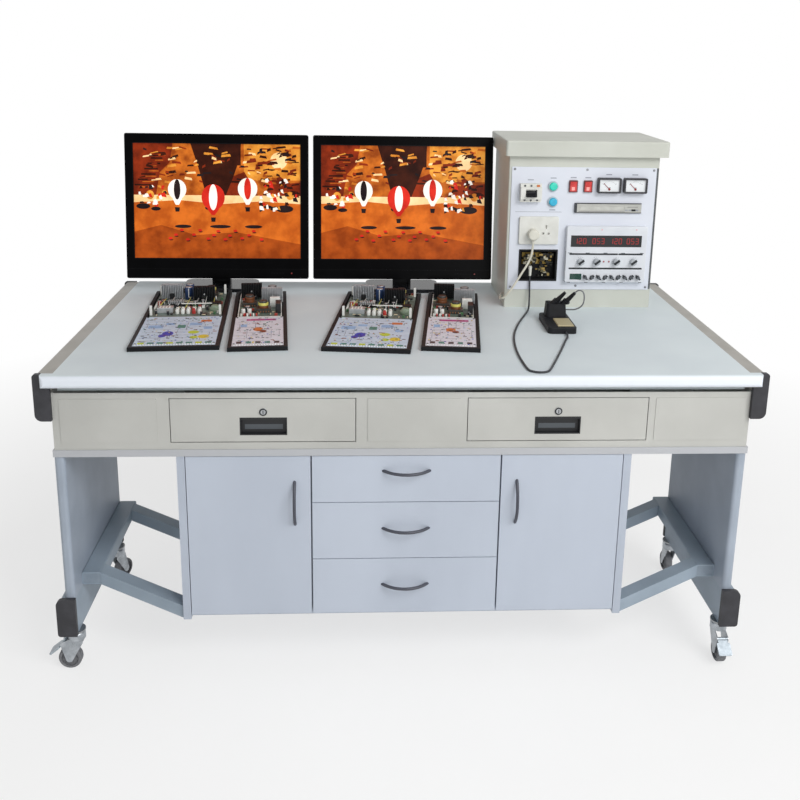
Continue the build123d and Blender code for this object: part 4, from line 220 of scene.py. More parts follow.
def block(bm, low, high, index=0, edge=0.0):
    """A block between two corners, with its edges eased."""
    made = bmesh.ops.create_cube(bm, size=1.0)["verts"]
    for vert in made:
        for axis in range(3):
            span = high[axis] - low[axis]
            vert.co[axis] = (low[axis] + high[axis]) / 2 + vert.co[axis] * span
    faces = {face for vert in made for face in vert.link_faces}
    for face in faces:
        face.material_index = index
    if edge:
        edges = list({line for face in faces for line in face.edges})
        bmesh.ops.bevel(
            bm, geom=edges, offset=edge, segments=2, profile=0.5, affect="EDGES", material=-1
        )


def box_at(bm, middle, size, index=0, edge=0.0):
    """A block about a point on its base."""
    low = (middle[0] - size[0] / 2, middle[1] - size[1] / 2, middle[2])
    high = (middle[0] + size[0] / 2, middle[1] + size[1] / 2, middle[2] + size[2])
    block(bm, low, high, index, edge)


def rod(bm, start, end, first, second, index=0, sides=20, edge=0.0):
    """A round bar or cone from one point to another, with its rims eased."""
    axis = Vector(end) - Vector(start)
    turn = axis.to_track_quat("Z", "Y").to_matrix().to_4x4()
    matrix = Matrix.Translation((Vector(start) + Vector(end)) / 2) @ turn
    made = bmesh.ops.create_cone(
        bm,
        cap_ends=True,
        segments=sides,
        radius1=first,
        radius2=second,
        depth=axis.length,
        matrix=matrix,
    )["verts"]
    faces = {face for vert in made for face in vert.link_faces}
    for face in faces:
        face.material_index = index
        face.smooth = len(face.verts) == 4
    if edge:
        rims = {line for face in faces if len(face.verts) > 4 for line in face.edges}
        bmesh.ops.bevel(
            bm, geom=list(rims), offset=edge, segments=2, profile=0.5, affect="EDGES", material=-1
        )


def patch(bm, points, lift, index=0):
    """A flat shape with its corners at the given points."""
    made = bmesh.ops.create_circle(bm, cap_ends=True, radius=1.0, segments=len(points))["verts"]
    for vert, point in zip(made, points):
        vert.co = (point[0], point[1], lift)
    for face in {face for vert in made for face in vert.link_faces}:
        face.material_index = index


def oval(bm, middle, size, lift, index=0, sides=28):
    """A flat oval."""
    points = []
    for step in range(sides):
        angle = 2 * math.pi * step / sides
        x = middle[0] + size[0] / 2 * math.cos(angle)
        y = middle[1] + size[1] / 2 * math.sin(angle)
        points.append((x, y))
    patch(bm, points, lift, index)


def strip(bm, middle, size, lift, index=0):
    """A flat upright rectangle."""
    x, y = size[0] / 2, size[1] / 2
    corners = [(-x, -y), (x, -y), (x, y), (-x, y)]
    patch(bm, [(middle[0] + a, middle[1] + b) for a, b in corners], lift, index)


def place_piece(bm, name, materials, body, place=None):
    """Turns the mesh into an object that rides on a body."""
    if place is not None:
        bmesh.ops.transform(bm, matrix=place, verts=bm.verts[:])
    mesh = bpy.data.meshes.new(name)
    bm.to_mesh(mesh)
    bm.free()
    for material in materials:
        mesh.materials.append(material)
    piece = bpy.data.objects.new(name, mesh)
    bpy.context.scene.collection.objects.link(piece)
    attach(piece, body)
    return piece


def board_place(name):
    """Where a tray stands on the worktop."""
    x, y, turn = BOARD_PLACES[name]
    move = Matrix.Translation((x * MM, y * MM, WORKTOP_Z * MM))
    return move @ Matrix.Rotation(math.radians(turn), 4, "Z") @ Matrix.Scale(MM, 4)


def screen_place(x):
    """The plane of a television's tilted front."""
    rise, fall = math.cos(TV_TILT), math.sin(TV_TILT)
    columns = ((1, 0, 0), (0, fall, rise), (0, -rise, fall))
    turn = Matrix(columns).transposed().to_4x4()
    return Matrix.Translation((x * MM, 0.36, 0.87)) @ turn @ Matrix.Scale(MM, 4)


def panel_place(y=PANEL_Y):
    """The plane of the console's panel, with its origin on the worktop and its third axis out."""
    turn = Matrix(((1, 0, 0), (0, 0, 1), (0, -1, 0))).transposed().to_4x4()
    move = Matrix.Translation((CONSOLE_X * MM, y * MM, WORKTOP_Z * MM))
    return move @ turn @ Matrix.Scale(MM, 4)


# Finishes of the bench


def paint_bench():
    """Laminate, powder coat, painted boards, moulded caps and casters."""
    # The worktop's front face is painted lighter: a painted highlight where the light falls on it.
    nosing_highlight = ((-900, -496, 780), (900, -462, 826.5), "E8EEF6")
    laminate = surface(
        "laminate", "DDE6E9", "D7E0E4", (0.46, 0.58), 5.0, grain=1500.0, bump=0.03, sheen=0.4,
        zones=(nosing_highlight,),
    )
    dress(laminate, "worktop")
    dress(surface("rail_paint", "A7A39C", "9C9890", (0.38, 0.5), 14.0), "side_rails")
    dress(surface("cap_plastic", "35353A", "2A2A2E", (0.5, 0.65), 30.0, bump=0.25), "end_caps")
    cream = ("BFBFBA", "B7B7B2")
    dress(surface("housing_coat", *cream, (0.45, 0.6), 6.0, grain=420.0, bump=0.3), "drawer_housing")
    for side, x in DRAWER_PLACES.items():
        name = f"desk_drawer_{side}"
        # The pull's cup keeps its own dark colour, darkened further by painted shade in the recess; the grip
        # strip and the lip along its top are painted highlights.
        cup_dark_and_shade = ((x - 58.6, -470, 665), (x + 58.6, -430, 712), "17181B")
        grip_highlight = ((x - 47, -443, 677), (x + 47, -430, 690), "4B5055")
        lip = ((x - 56, -443, 704.5), (x + 56, -430, 708), "3A3D42")
        zones = (cup_dark_and_shade, grip_highlight, lip)
        coat = surface(f"{name}_coat", *cream, (0.45, 0.6), 6.0, grain=420.0, bump=0.3, zones=zones)
        dress(coat, name)
    apron = ((-900, -460, 607), (900, 520, 630), "B6B8BC")
    frame_coat = surface(
        "frame_coat", "9BA9B6", "8E9CA9", (0.4, 0.55), 7.0, grain=500.0, bump=0.2, zones=(apron,)
    )
    dress(frame_coat, "base_frame")
    # The inner faces of the leg panels are painted darker: painted shade in the space under the bench.
    inner = ((-849.5, -430, 0), (849.5, 40, 640), "747E88")
    leg_coat_and_shade = surface(
        "leg_coat_and_shade", "A4AEBB", "98A2AF", (0.42, 0.55), 7.0, grain=500.0, bump=0.2, zones=(inner,)
    )
    dress(leg_coat_and_shade, "leg_panels")
    carcass = surface("carcass_paint", "B6BECB", "AFB7C4", (0.4, 0.52), 5.0, (1, 1, 0.3), 900.0, 0.1)
    dress(carcass, "cabinet_carcass")
    handles = ((-600, -480, 150), (600, -445.5, 620), "43454F")
    fronts = surface(
        "front_paint", "BEC6D3", "B7BFCC", (0.38, 0.5), 4.0, (1, 1, 0.3), 900.0, 0.1, zones=(handles,)
    )
    dress(fronts, "cabinet_drawer_top", "cabinet_drawer_middle", "cabinet_drawer_bottom")
    dress(fronts, "door_left", "door_right")
    zinc = surface("zinc", "A5A7A8", "8B8E90", (0.28, 0.42), 40.0, metallic=0.9, bump=0.1)
    dress(zinc, "steel_fittings", "drawer_lock_left", "drawer_lock_right")
    fork = surface("fork_zinc", "B9BEC3", "9A9FA4", (0.25, 0.4), 40.0, metallic=0.7, bump=0.1)
    pedal = surface("pedal_zinc", "A9B2B9", "8E979E", (0.3, 0.45), 60.0, metallic=0.5, bump=0.2)
    tyre = surface("tyre_rubber", "7A7B7E", "66676B", (0.6, 0.75), 70.0, bump=0.3)
    for end in ("front_left", "front_right", "rear_left", "rear_right"):
        dress(fork, f"caster_fork_{end}")
        dress(tyre, f"wheel_{end}")
    dress(pedal, "brake_pedal_front_left", "brake_pedal_front_right")


def add_tube_covers():
    """Covers in the open front ends of the frame's side tubes."""
    cover = surface("tube_cover", "8E9AA6", "828E9A", (0.45, 0.6), 30.0, bump=0.15)
    half, low, high = 22.5, 218.5, 248.5
    bm = bmesh.new()
    for x in (-TUBE_X, TUBE_X):
        block(bm, (x - half, TUBE_FRONT + 0.2, low), (x + half, TUBE_FRONT + 4, high), 0, 0.8)
    place_piece(bm, "tube_covers", [cover], "root", BENCH)


def add_lock_faces():
    """A dark ring, a bright face and a key slot on each drawer lock."""
    steel = surface("lock_face", "B6B9BC", "A2A5A8", (0.25, 0.4), 60.0, metallic=0.6)
    dark = surface("lock_dark", "2A2C2F", "1F2124", (0.5, 0.65), 60.0, sheen=0.3)
    ring, face, slot = LOCK_FRONT - 0.3, LOCK_FRONT - 1.2, LOCK_FRONT - 1.5
    for side, x in DRAWER_PLACES.items():
        bm = bmesh.new()
        rod(bm, (x, LOCK_FRONT + 0.4, LOCK_Z), (x, ring, LOCK_Z), 9.6, 9.4, 1, 32, 0.2)
        rod(bm, (x, LOCK_FRONT - 0.2, LOCK_Z), (x, face, LOCK_Z), 6.6, 6.2, 0, 28, 0.3)
        block(bm, (x - 0.9, slot, LOCK_Z - 4.5), (x + 0.9, LOCK_FRONT - 1, LOCK_Z + 4.5), 1)
        body = f"drawer_lock_{side}"
        place_piece(bm, f"lock_face_{side}", [steel, dark], body, BENCH)


# Finishes of the console and what stands on the bench


def paint_console():
    """Console case, panel, its instruments and the soldering stand."""
    case = surface("case_coat", "CBCDC4", "C3C5BB", (0.42, 0.56), 6.0, grain=450.0, bump=0.25)
    dress(case, "console_case")
    dress(surface("panel_sheet", "DDE1EA", "D7DBE5", (0.3, 0.42), 7.0, bump=0.04), "console_panel")
    white = surface("device_white", "E2E2DC", "D8D8D1", (0.35, 0.5), 30.0, bump=0.1)
    dress(white, "circuit_breaker", "socket_plate")
    insets = []
    for x in METER_PLACES:
        insets.append(((x - 30.6, 160.5, 1193.8), (x + 30.6, 162.5, 1230.2), "E9ECEE"))
    for x in ROCKER_PLACES:
        insets.append(((x - 13.5, 165.5, 1189), (x + 13.5, 172.5, 1227), "5A1214"))
    button_rings = ((430, 165, 1135), (490, 172.5, 1230), "B4C4CC")
    insets.append(button_rings)
    bezels = surface("bezel_plastic", "24242B", "1B1B21", (0.35, 0.5), 60.0, zones=insets)
    dress(bezels, "panel_bezels")
    black = surface("device_black", "17171B", "101013", (0.4, 0.55), 50.0, bump=0.15, sheen=0.25)
    dress(black, "breaker_lever", "eject_button")
    dress(surface("button_green", "10D8BE", "0CC8AE", (0.18, 0.28), 60.0, coat=0.4), "green_button")
    dress(surface("button_blue", "12B8DC", "0EA8CE", (0.18, 0.28), 60.0, coat=0.4), "blue_button")
    lit = []
    # The pale patch in the middle of each rocker is a painted highlight.
    for x in ROCKER_PLACES:
        lit.append(((x - 5, 150, 1196), (x + 4, 180, 1206), "F2A29B"))
    red = surface("rocker_red", "D23B38", "BE2B2B", (0.2, 0.3), 60.0, coat=0.4, glow=0.12, zones=lit)
    dress(red, "rocker_left", "rocker_right")
    dress(surface("rocker_green", "17483C", "103A30", (0.22, 0.32), 60.0, coat=0.3), "supply_rocker")
    dress(surface("needle_paint", "8C1B14", "7A1610", (0.5, 0.6), 80.0), "needle_left", "needle_right")
    silver = surface(
        "player_silver", "B7B7B1", "A6A6A0", (0.3, 0.45), 30.0, (1, 1, 30), 300.0, 0.1, metallic=0.35
    )
    dress(silver, "disc_player")
    dress(surface("tray_silver", "C2C2BC", "B2B2AC", (0.3, 0.4), 40.0, metallic=0.2), "disc_tray")
    jacks = ((376, 181, 962), (476, 203.6, 1003), "B79A4E")
    boot = ((395, 150, 930.5), (409, 171, 962), "DDDCD2")
    window = surface(
        "window_black", "161719", "101113", (0.4, 0.6), 50.0, sheen=0.2, zones=(jacks, boot)
    )
    dress(window, "jack_window")
    display = ((520, 155.6, 1024), (742, 160, 1062), "0C0D10")
    # The band over the supply's grooves is painted dark: painted shade in the grooves.
    groove_shade = ((500, 155.6, 950), (760, 160, 1010), "4A4E52")
    supply = surface(
        "supply_coat", "E0E3E8", "D8DBE1", (0.35, 0.48), 12.0, grain=600.0,
        zones=(display, groove_shade),
    )
    dress(supply, "power_supply")
    collars = ((500, 150.9, 915), (760, 154.2, 945), "24272A")
    lamps = ((620, 150, 972), (648, 156, 986), "A65F63")
    posts = surface(
        "post_plastic", "5A5F64", "4A4E53", (0.3, 0.45), 60.0, sheen=0.35, zones=(collars, lamps)
    )
    dress(posts, "supply_terminals")
    knob = surface("knob_plastic", "BCC1C6", "AEB3B8", (0.35, 0.5), 60.0, bump=0.15)
    dress(knob, "supply_knob_1", "supply_knob_2", "supply_knob_3", "supply_knob_4")
    sponge = ((441.5, -98.5, 841), (488.5, -21.5, 850), "B9AE8C")
    stand = surface(
        "solder_black", "17181C", "0F1013", (0.4, 0.6), 40.0, bump=0.2, sheen=0.25, zones=(sponge,)
    )
    dress(stand, "soldering_stand")
    dress(surface("plug_plastic", "DEDCD0", "D3D1C4", (0.35, 0.5), 60.0), "power_plug")
    shell = surface("tv_plastic", "08080A", "050506", (0.16, 0.26), 20.0, bump=0.02, sheen=0.03)
    dress(shell, "tv_left", "tv_right")
    dress(surface("tv_foot", "1C1E22", "15161A", (0.16, 0.26), 20.0, bump=0.02, sheen=0.2), "tv_stands")
    dress(surface("tray_black", "141518", "0E0F12", (0.45, 0.6), 40.0, bump=0.2, sheen=0.2), "board_trays")
    mask = surface("solder_mask", "66756C", "4E5B54", (0.35, 0.5), 55.0, grain=1200.0, bump=0.2)
    dress(mask, "circuit_boards")


# Console details


def segment_digits(bm, left, base, text, index):
    """Digits of seven bars each, in panel millimetres."""
    bars = {"0": "abcdef", "1": "bc", "2": "abdeg", "3": "abcdg", "4": "bcfg", "5": "acdfg", "8": "abcdefg"}
    wide, tall, thick, pitch = 8.0, 16.0, 2.2, 13.5
    spots = {
        "a": (wide / 2, tall, wide, thick),
        "b": (wide, tall * 0.75, thick, tall / 2),
        "c": (wide, tall * 0.25, thick, tall / 2),
        "d": (wide / 2, 0, wide, thick),
        "e": (0, tall * 0.25, thick, tall / 2),
        "f": (0, tall * 0.75, thick, tall / 2),
        "g": (wide / 2, tall / 2, wide, thick),
    }
    for place, digit in enumerate(text):
        for bar in bars[digit]:
            x, y, w, h = spots[bar]
            middle = (left + place * pitch + x, base + y)
            low = (middle[0] - w / 2, middle[1] - h / 2, -2.0)
            high = (middle[0] + w / 2, middle[1] + h / 2, -1.5)
            block(bm, low, high, index)


def add_display(glow):
    """The power supply's figures, its printed marks and the lit dots."""
    lit = surface("display_red", "8A1B1A", "761513", (0.4, 0.5), 60.0, glow=glow)
    ink = surface("supply_ink", "6C7276", "5E6468", (0.5, 0.6), 60.0)
    pink = surface("lamp_pink", "D9A3A8", "CC9499", (0.3, 0.4), 60.0, glow=0.2)
    bm = bmesh.new()
    for left, text in ((-22, "120"), (34, "053"), (88, "120"), (140, "053")):
        segment_digits(bm, left, 206, text, 0)
    reach = 13.5
    for x in KNOB_PLACES:
        for step in range(9):
            angle = math.radians(-120 + 30 * step)
            dot = (x + reach * math.sin(angle), KNOB_LEVEL + reach * math.cos(angle))
            rod(bm, (*dot, 0), (*dot, 0.3), 0.7, 0.7, 1, 8)
    for x in (-35, 20, 75, 130, 188):
        block(bm, (x - 6, 176.5, 0), (x + 6, 178.5, 0.2), 1)
        block(bm, (x - 5, 84, 0), (x + 5, 86, 0.2), 1)
    for x in (60, 167):
        rod(bm, (x, 250, 0), (x, 250, 1.4), 2.2, 1.8, 2, 16, 0.3)
    place_piece(bm, "supply_figures", [lit, ink, pink], "root", panel_place(SUPPLY_Y))


def turn_and_move(bm, degrees, move):
    """Turns all of a mesh about its third axis and then moves it."""
    turn = Matrix.Rotation(math.radians(degrees), 3, "Z")
    bmesh.ops.rotate(bm, matrix=turn, verts=bm.verts[:])
    bmesh.ops.translate(bm, vec=move, verts=bm.verts[:])


def add_knob_pointers():
    """A dark wing on the pale face of each knob, for its pointer and partly a painted shadow of the knob, and
    the painted shade strips and wings round them.
    """
    dark = surface("pointer_and_shadow_dark", "2B2E32", "212428", (0.4, 0.55), 60.0, bump=0.15, sheen=0.3)
    pale = surface("knob_face", "C4C9CE", "B4B9BE", (0.35, 0.5), 60.0, bump=0.1)
    for number, x in enumerate(KNOB_PLACES, start=1):
        bm = bmesh.new()
        # The dark wing is the knob's pointer, and partly a painted shadow of the knob.
        block(bm, (-10.5, -3.4, 12.2), (10.5, 3.4, 17.5), 0, 1.2)
        rod(bm, (0, 0, 11), (0, 0, 13), 9.2, 8.6, 1, 28, 0.4)
        turn_and_move(bm, 38, (x, KNOB_LEVEL, 0))
        body = f"supply_knob_{number}"
        place_piece(bm, f"pointer_{number}", [dark, pale], body, panel_place(SUPPLY_Y))
    add_supply_shade_and_wings(dark)


def add_supply_shade_and_wings(dark):
    """Painted shade strips in the supply's two grooves, a painted shadow strip beside its case, and a slanted
    dark wing on each terminal for its cap and partly its painted shadow.
    """
    bm = bmesh.new()
    # Painted shade in the two grooves.
    for left, right, level in ((-36, 113, 174), (117, 191, 174), (-36, 191, 129)):
        block(bm, (left, level - 2.6, -1.9), (right, level + 2.6, 0.5), 0, 0.3)
    # A painted shadow down the supply's left side.
    block(bm, (-46, 86, -17.5), (-43.5, 258, -2), 0, 0.3)
    # Each wing is the terminal's dark cap and partly its painted shadow.
    for step in range(TERMINALS):
        wing = bmesh.new()
        block(wing, (-8.5, -2.3, 0.5), (8.5, 2.3, 12.5), 0, 0.6)
        x = TERMINAL_LEFT + TERMINAL_PITCH * step
        turn_and_move(wing, 48 if step % 2 else -48, (x, TERMINAL_LEVEL, 0))
        joined = bpy.data.meshes.new("wing")
        wing.to_mesh(joined)
        wing.free()
        bm.from_mesh(joined)
        bpy.data.meshes.remove(joined)
    place_piece(bm, "supply_shade_and_wings", [dark], "root", panel_place(SUPPLY_Y))


def add_jack_clutter():
    """The jacks, clips and wire ends that fill the window's back."""
    brass = surface("jack_brass", "A88F52", "8C7540", (0.35, 0.5), 80.0, metallic=0.3)
    olive = surface("jack_olive", "6B6444", "564F34", (0.45, 0.6), 80.0)
    pale = surface("jack_pale", "B9B5A2", "A5A18D", (0.45, 0.6), 80.0)
    dark = surface("jack_dark", "2A2923", "1D1C18", (0.5, 0.65), 80.0, sheen=0.3)
    left, right, cord_side, back = 382, 466, 412, 203
    low, rows, rails, high = 922, 960, 955, 994
    rail_front, floor_front = 180.5, 200
    scatter = random.Random(5)
    bm = bmesh.new()
    for step in range(60):
        x = scatter.uniform(left, right)
        z = scatter.uniform(low, high) if x > cord_side else scatter.uniform(rows, high)
        wide, tall, deep = scatter.uniform(3, 13), scatter.uniform(3, 9), scatter.uniform(3, 12)
        front = rail_front - deep / 4 if z > rails else floor_front - deep
        block(bm, (x, front, z), (x + wide, back, z + tall), (3, 0, 1, 3, 2)[step % 5], 0.5)
    place_piece(bm, "jack_clutter", [brass, olive, pale, dark], "root", BENCH)


def add_panel_marks():
    """All small marks on the console's panel and its instruments."""
    steel = surface("screw_steel", "9A9CA0", "7E8084", (0.25, 0.4), 80.0, metallic=0.8)
    # This dark finish also paints the shade in the gap along the panel's right edge.
    dark = surface("dark_marks_and_gap_shade", "55585C", "46494D", (0.5, 0.65), 60.0)
    # This ink also paints the cast shadow at the disc player's left end.
    ink = surface("ink_and_painted_shadow", "303338", "26292D", (0.5, 0.6), 60.0)
    spot = surface("mark_orange", "D9792E", "C96A22", (0.4, 0.5), 60.0)
    grey = surface("mark_grey", "9EA2AA", "9094A0", (0.4, 0.5), 60.0)
    add_screws_and_labels([steel, dark, ink, spot, grey])
    add_breaker_marks([steel, dark, ink, spot])
    add_meter_scales(ink)
    add_player_keys([grey, ink])


def add_screws_and_labels(finishes):
    """The panel's screws, a strip of painted shade in the gap at its right edge, and the plain bars where
    labels stand.
    """
    bm = bmesh.new()
    for x, z in ((-212, 430), (8, 430), (212, 430), (-212, 66), (-8, 70), (212, 66)):
        rod(bm, (x, z, 0), (x, z, 1.8), 4.0, 3.0, 0, 20, 0.4)
        block(bm, (x - 2.6, z - 0.4, 1.7), (x + 2.6, z + 0.4, 1.9), 2)
    # Painted shade in the gap along the panel's right edge.
    block(bm, (220.6, 60, -2.9), (227, 436, -1.2), 1, 0.3)
    for x, z in ((-94, 404), (-93, 307), (-33, 406), (12, 406), (75, 416), (155, 416), (-163, 398)):
        block(bm, (x - 9, z - 1.5, 0), (x + 9, z + 1.5, 0.15), 4)
    block(bm, (-206, 300, 0), (-64, 301.2, 0.15), 4)
    place_piece(bm, "panel_marks", finishes, "root", panel_place())


def add_breaker_marks(finishes):
    """The breaker's terminal screws, its test key and the slit under the lever."""
    bm = bmesh.new()
    for x in (-182, -163, -144):
        for z in (339, 382):
            rod(bm, (x, z, 16), (x, z, 16.4), 3.2, 3.2, 1, 14)
    block(bm, (-146, 378, 16), (-137, 385, 16.5), 3, 0.2)
    block(bm, (-163.6, 333, 15.8), (-162.4, 341, 16.2), 1)
    place_piece(bm, "breaker_marks", finishes, "root", panel_place())


def add_meter_scales(ink):
    """Eleven strokes in an arc on each dial, every fifth one longer, and a bar for the unit."""
    inner, dial = 23.0, 11.0
    bm = bmesh.new()
    for meter in METER_PLACES:
        centre = meter - CONSOLE_X
        for step in range(11):
            angle = math.radians(-50 + 10 * step)
            outer = 25.5 if step % 5 else 27.5
            across, up = math.sin(angle), math.cos(angle)
            start = (centre + inner * across, METER_HUB + inner * up, dial)
            end = (centre + outer * across, METER_HUB + outer * up, dial)
            rod(bm, start, end, 0.35, 0.35, 0, 6)
        block(bm, (centre - 4, METER_HUB + 5, dial), (centre + 4, METER_HUB + 6.4, dial + 0.15), 0)
    place_piece(bm, "meter_scales", [ink], "root", panel_place())


def add_player_keys(finishes):
    """The disc player's three keys, the dark lines round its front and its tray, and a painted cast shadow at
    its left end.
    """
    bm = bmesh.new()
    for x in (133, 144, 166):
        block(bm, (x - 3.5, 307, 8), (x + 3.5, 311, 9.2), 0, 0.4)
    block(bm, (-14, 303.6, 8), (128, 304.6, 8.3), 1)
    # A painted cast shadow at the player's left end.
    block(bm, (-25.5, 300, 0), (-19, 329, 8.4), 1, 0.4)
    block(bm, (-25, 327, 0.2), (180, 329.4, 6), 1, 0.4)
    block(bm, (-25, 299.4, 0.2), (180, 302, 6), 1, 0.4)
    block(bm, (136, 318, 8), (168, 319, 8.2), 1)
    place_piece(bm, "player_keys", finishes, "root", panel_place())


# Television pictures


def add_picture(body, x, glow):
    """A canyon landscape with balloons over it, as flat shapes just in front of the glass."""
    looks = (
        ("sky_orange", "BC6420", "7E3810"),
        ("rock_red", "842C12", "541A0B"),
        ("rock_dark", "37160C", "220C07"),
        ("sky_yellow", "D8943A", "A85E1C"),
        ("sand_cream", "E6C795", "D9B078"),
        ("ground", "C46420", "A24A15"),
        ("ground_deep", "A04816", "7C330E"),
        ("cloth_white", "E8E4DC", "D6D0C6"),
        ("cloth_red", "C42A1E", "A81F16"),
        ("shade", "241A1A", "171012"),
    )
    inks = []
    for name, base, deep in looks:
        finish = f"{body}_{name}"
        inks.append(surface(finish, base, deep, (0.2, 0.3), 24.0, bump=0.0, glow=glow, sheen=0.05))
    orange, red, dark, yellow, cream, ground, deep, white, scarlet, shade = range(10)
    bm = bmesh.new()
    level = -4.8
    strip(bm, (0, 249), (530, 366), level, orange)
    strip(bm, (175, 375), (180, 114), level + 0.1, yellow)
    strip(bm, (-5, 398), (160, 68), level + 0.1, dark)
    patch(
        bm,
        [(-265, 432), (-265, 258), (-196, 262), (-182, 340), (-150, 372), (-140, 432)],
        level + 0.2,
        red,
    )
    for step in range(7):
        strip(bm, (-236 + 9 * step, 300 + 17 * step), (52 - 3 * step, 5), level + 0.22, dark)
        strip(bm, (-228 + 9 * step, 293 + 17 * step), (40 - 3 * step, 3), level + 0.24, orange)
    patch(bm, [(-140, 432), (-150, 372), (-128, 310), (-92, 262), (-50, 262), (-58, 350), (-84, 432)],
          level + 0.2, orange)
    patch(bm, [(-84, 432), (-58, 350), (-34, 262), (24, 262), (52, 330), (74, 392), (76, 432)],
          level + 0.3, dark)
    patch(bm, [(24, 262), (52, 330), (86, 344), (112, 300), (132, 262)], level + 0.4, red)
    patch(bm, [(150, 262), (168, 316), (200, 330), (232, 308), (265, 312), (265, 262)],
          level + 0.4, red)
    oval(bm, (196, 380), (54, 54), level + 0.3, cream)
    strip(bm, (0, 250), (530, 36), level + 0.5, cream)
    patch(bm, [(-265, 244), (-120, 252), (10, 240), (140, 250), (265, 242), (265, 66), (-265, 66)],
          level + 0.6, ground)
    patch(bm, [(-265, 150), (-180, 172), (-70, 140), (60, 150), (265, 112), (265, 66), (-265, 66)],
          level + 0.7, deep)
    for u, v, wide in ((-236, 232, 44), (-196, 224, 30), (214, 226, 56), (160, 232, 26), (-20, 228, 40)):
        oval(bm, (u, v), (wide, wide * 0.42), level + 0.8, shade)
    for u, v, wide in ((-214, 268, 26), (-168, 274, 18), (232, 268, 24), (104, 270, 20)):
        oval(bm, (u, v), (wide, wide * 1.1), level + 0.8, yellow)
    balloons = ((-128, 286, 58, white, shade), (-14, 262, 74, scarlet, white), (96, 290, 62, white, scarlet))
    for u, v, wide, cloth, trim in balloons:
        oval(bm, (u, v), (wide, wide * 1.12), level + 0.9, cloth)
        oval(bm, (u, v), (wide * 0.36, wide * 1.12), level + 1.0, trim)
        low = v - wide * 0.5
        half = wide * 0.26
        patch(bm, [(u - half, low), (u + half, low), (u + 5, low - 20), (u - 5, low - 20)],
              level + 0.95, cloth)
        patch(bm, [(u - 8, low - 28), (u + 8, low - 28), (u + 6, low - 42), (u - 6, low - 42)],
              level + 1.0, shade)
        oval(bm, (u + wide * 0.3, 168), (wide * 0.9, 11), level + 0.9, shade)
    scatter = random.Random(11)
    for step in range(150):
        u, v = scatter.uniform(-256, 236), scatter.uniform(306, 420)
        if step % 3 == 0:
            u, v = scatter.uniform(120, 240), scatter.uniform(262, 420)
        wide, tall = scatter.uniform(8, 34), scatter.uniform(3, 9)
        lean = scatter.uniform(-6, 6)
        colour = (dark, red, yellow, dark, shade, red, orange, cream, dark)[step % 9]
        points = [(u, v), (u + wide, v + lean), (u + wide * 0.9, v + tall + lean), (u + 2, v + tall)]
        patch(bm, points, level + 0.5 + 0.0005 * step, colour)
    for step in range(70):
        right_side = step % 3
        u = scatter.uniform(128, 250) if right_side else scatter.uniform(-252, -168)
        v = scatter.uniform(212, 318) if right_side else scatter.uniform(216, 296)
        colour = (white, scarlet, shade, yellow, dark, white)[scatter.randrange(6)]
        wide, tall = scatter.uniform(7, 17), scatter.uniform(6, 14)
        lean = scatter.uniform(-5, 5)
        points = [(u, v), (u + wide, v + lean), (u + wide * 0.6, v + tall), (u + lean * 0.4, v + tall * 0.8)]
        patch(bm, points, level + 0.86 + 0.001 * step, colour)
    for step in range(16):
        u = -150 + step * 19 + scatter.uniform(-5, 5)
        v = 128 + 14 * (step % 3) + scatter.uniform(-3, 3)
        oval(bm, (u, v), (13, 8), level + 0.9, scarlet, 12)
        oval(bm, (u + 2, v - 5), (13, 4), level + 0.85, shade, 12)
    place_piece(bm, f"picture_{body}", inks, body, screen_place(x))


def add_trim(body, x):
    """The inner lip of the bezel, the line under it, the standby lamp and the keys."""
    lip = surface(f"{body}_lip", "131316", "0D0D10", (0.2, 0.3), 40.0, sheen=0.08)
    lamp = surface(f"{body}_lamp", "6E1512", "5A100E", (0.3, 0.4), 40.0, glow=0.4)
    bm = bmesh.new()
    block(bm, (-265, 432, -4.6), (265, 434, 0.4), 0, 0.2)
    block(bm, (-267, 64, -4.6), (267, 66, 0.4), 0, 0.2)
    block(bm, (-267, 64, -4.6), (-265, 434, 0.4), 0, 0.2)
    block(bm, (265, 64, -4.6), (267, 434, 0.4), 0, 0.2)
    block(bm, (-289, 30, 0), (289, 31.2, 0.5), 0, 0.2)
    rod(bm, (236, 18, -0.2), (236, 18, 1.0), 2.6, 2.2, 1, 16, 0.3)
    for step in range(5):
        block(bm, (170 + 9 * step, 17, 0), (174 + 9 * step, 19, 0.6), 0, 0.15)
    place_piece(bm, f"trim_{body}", [lip, lamp], body, screen_place(x))


# Boards


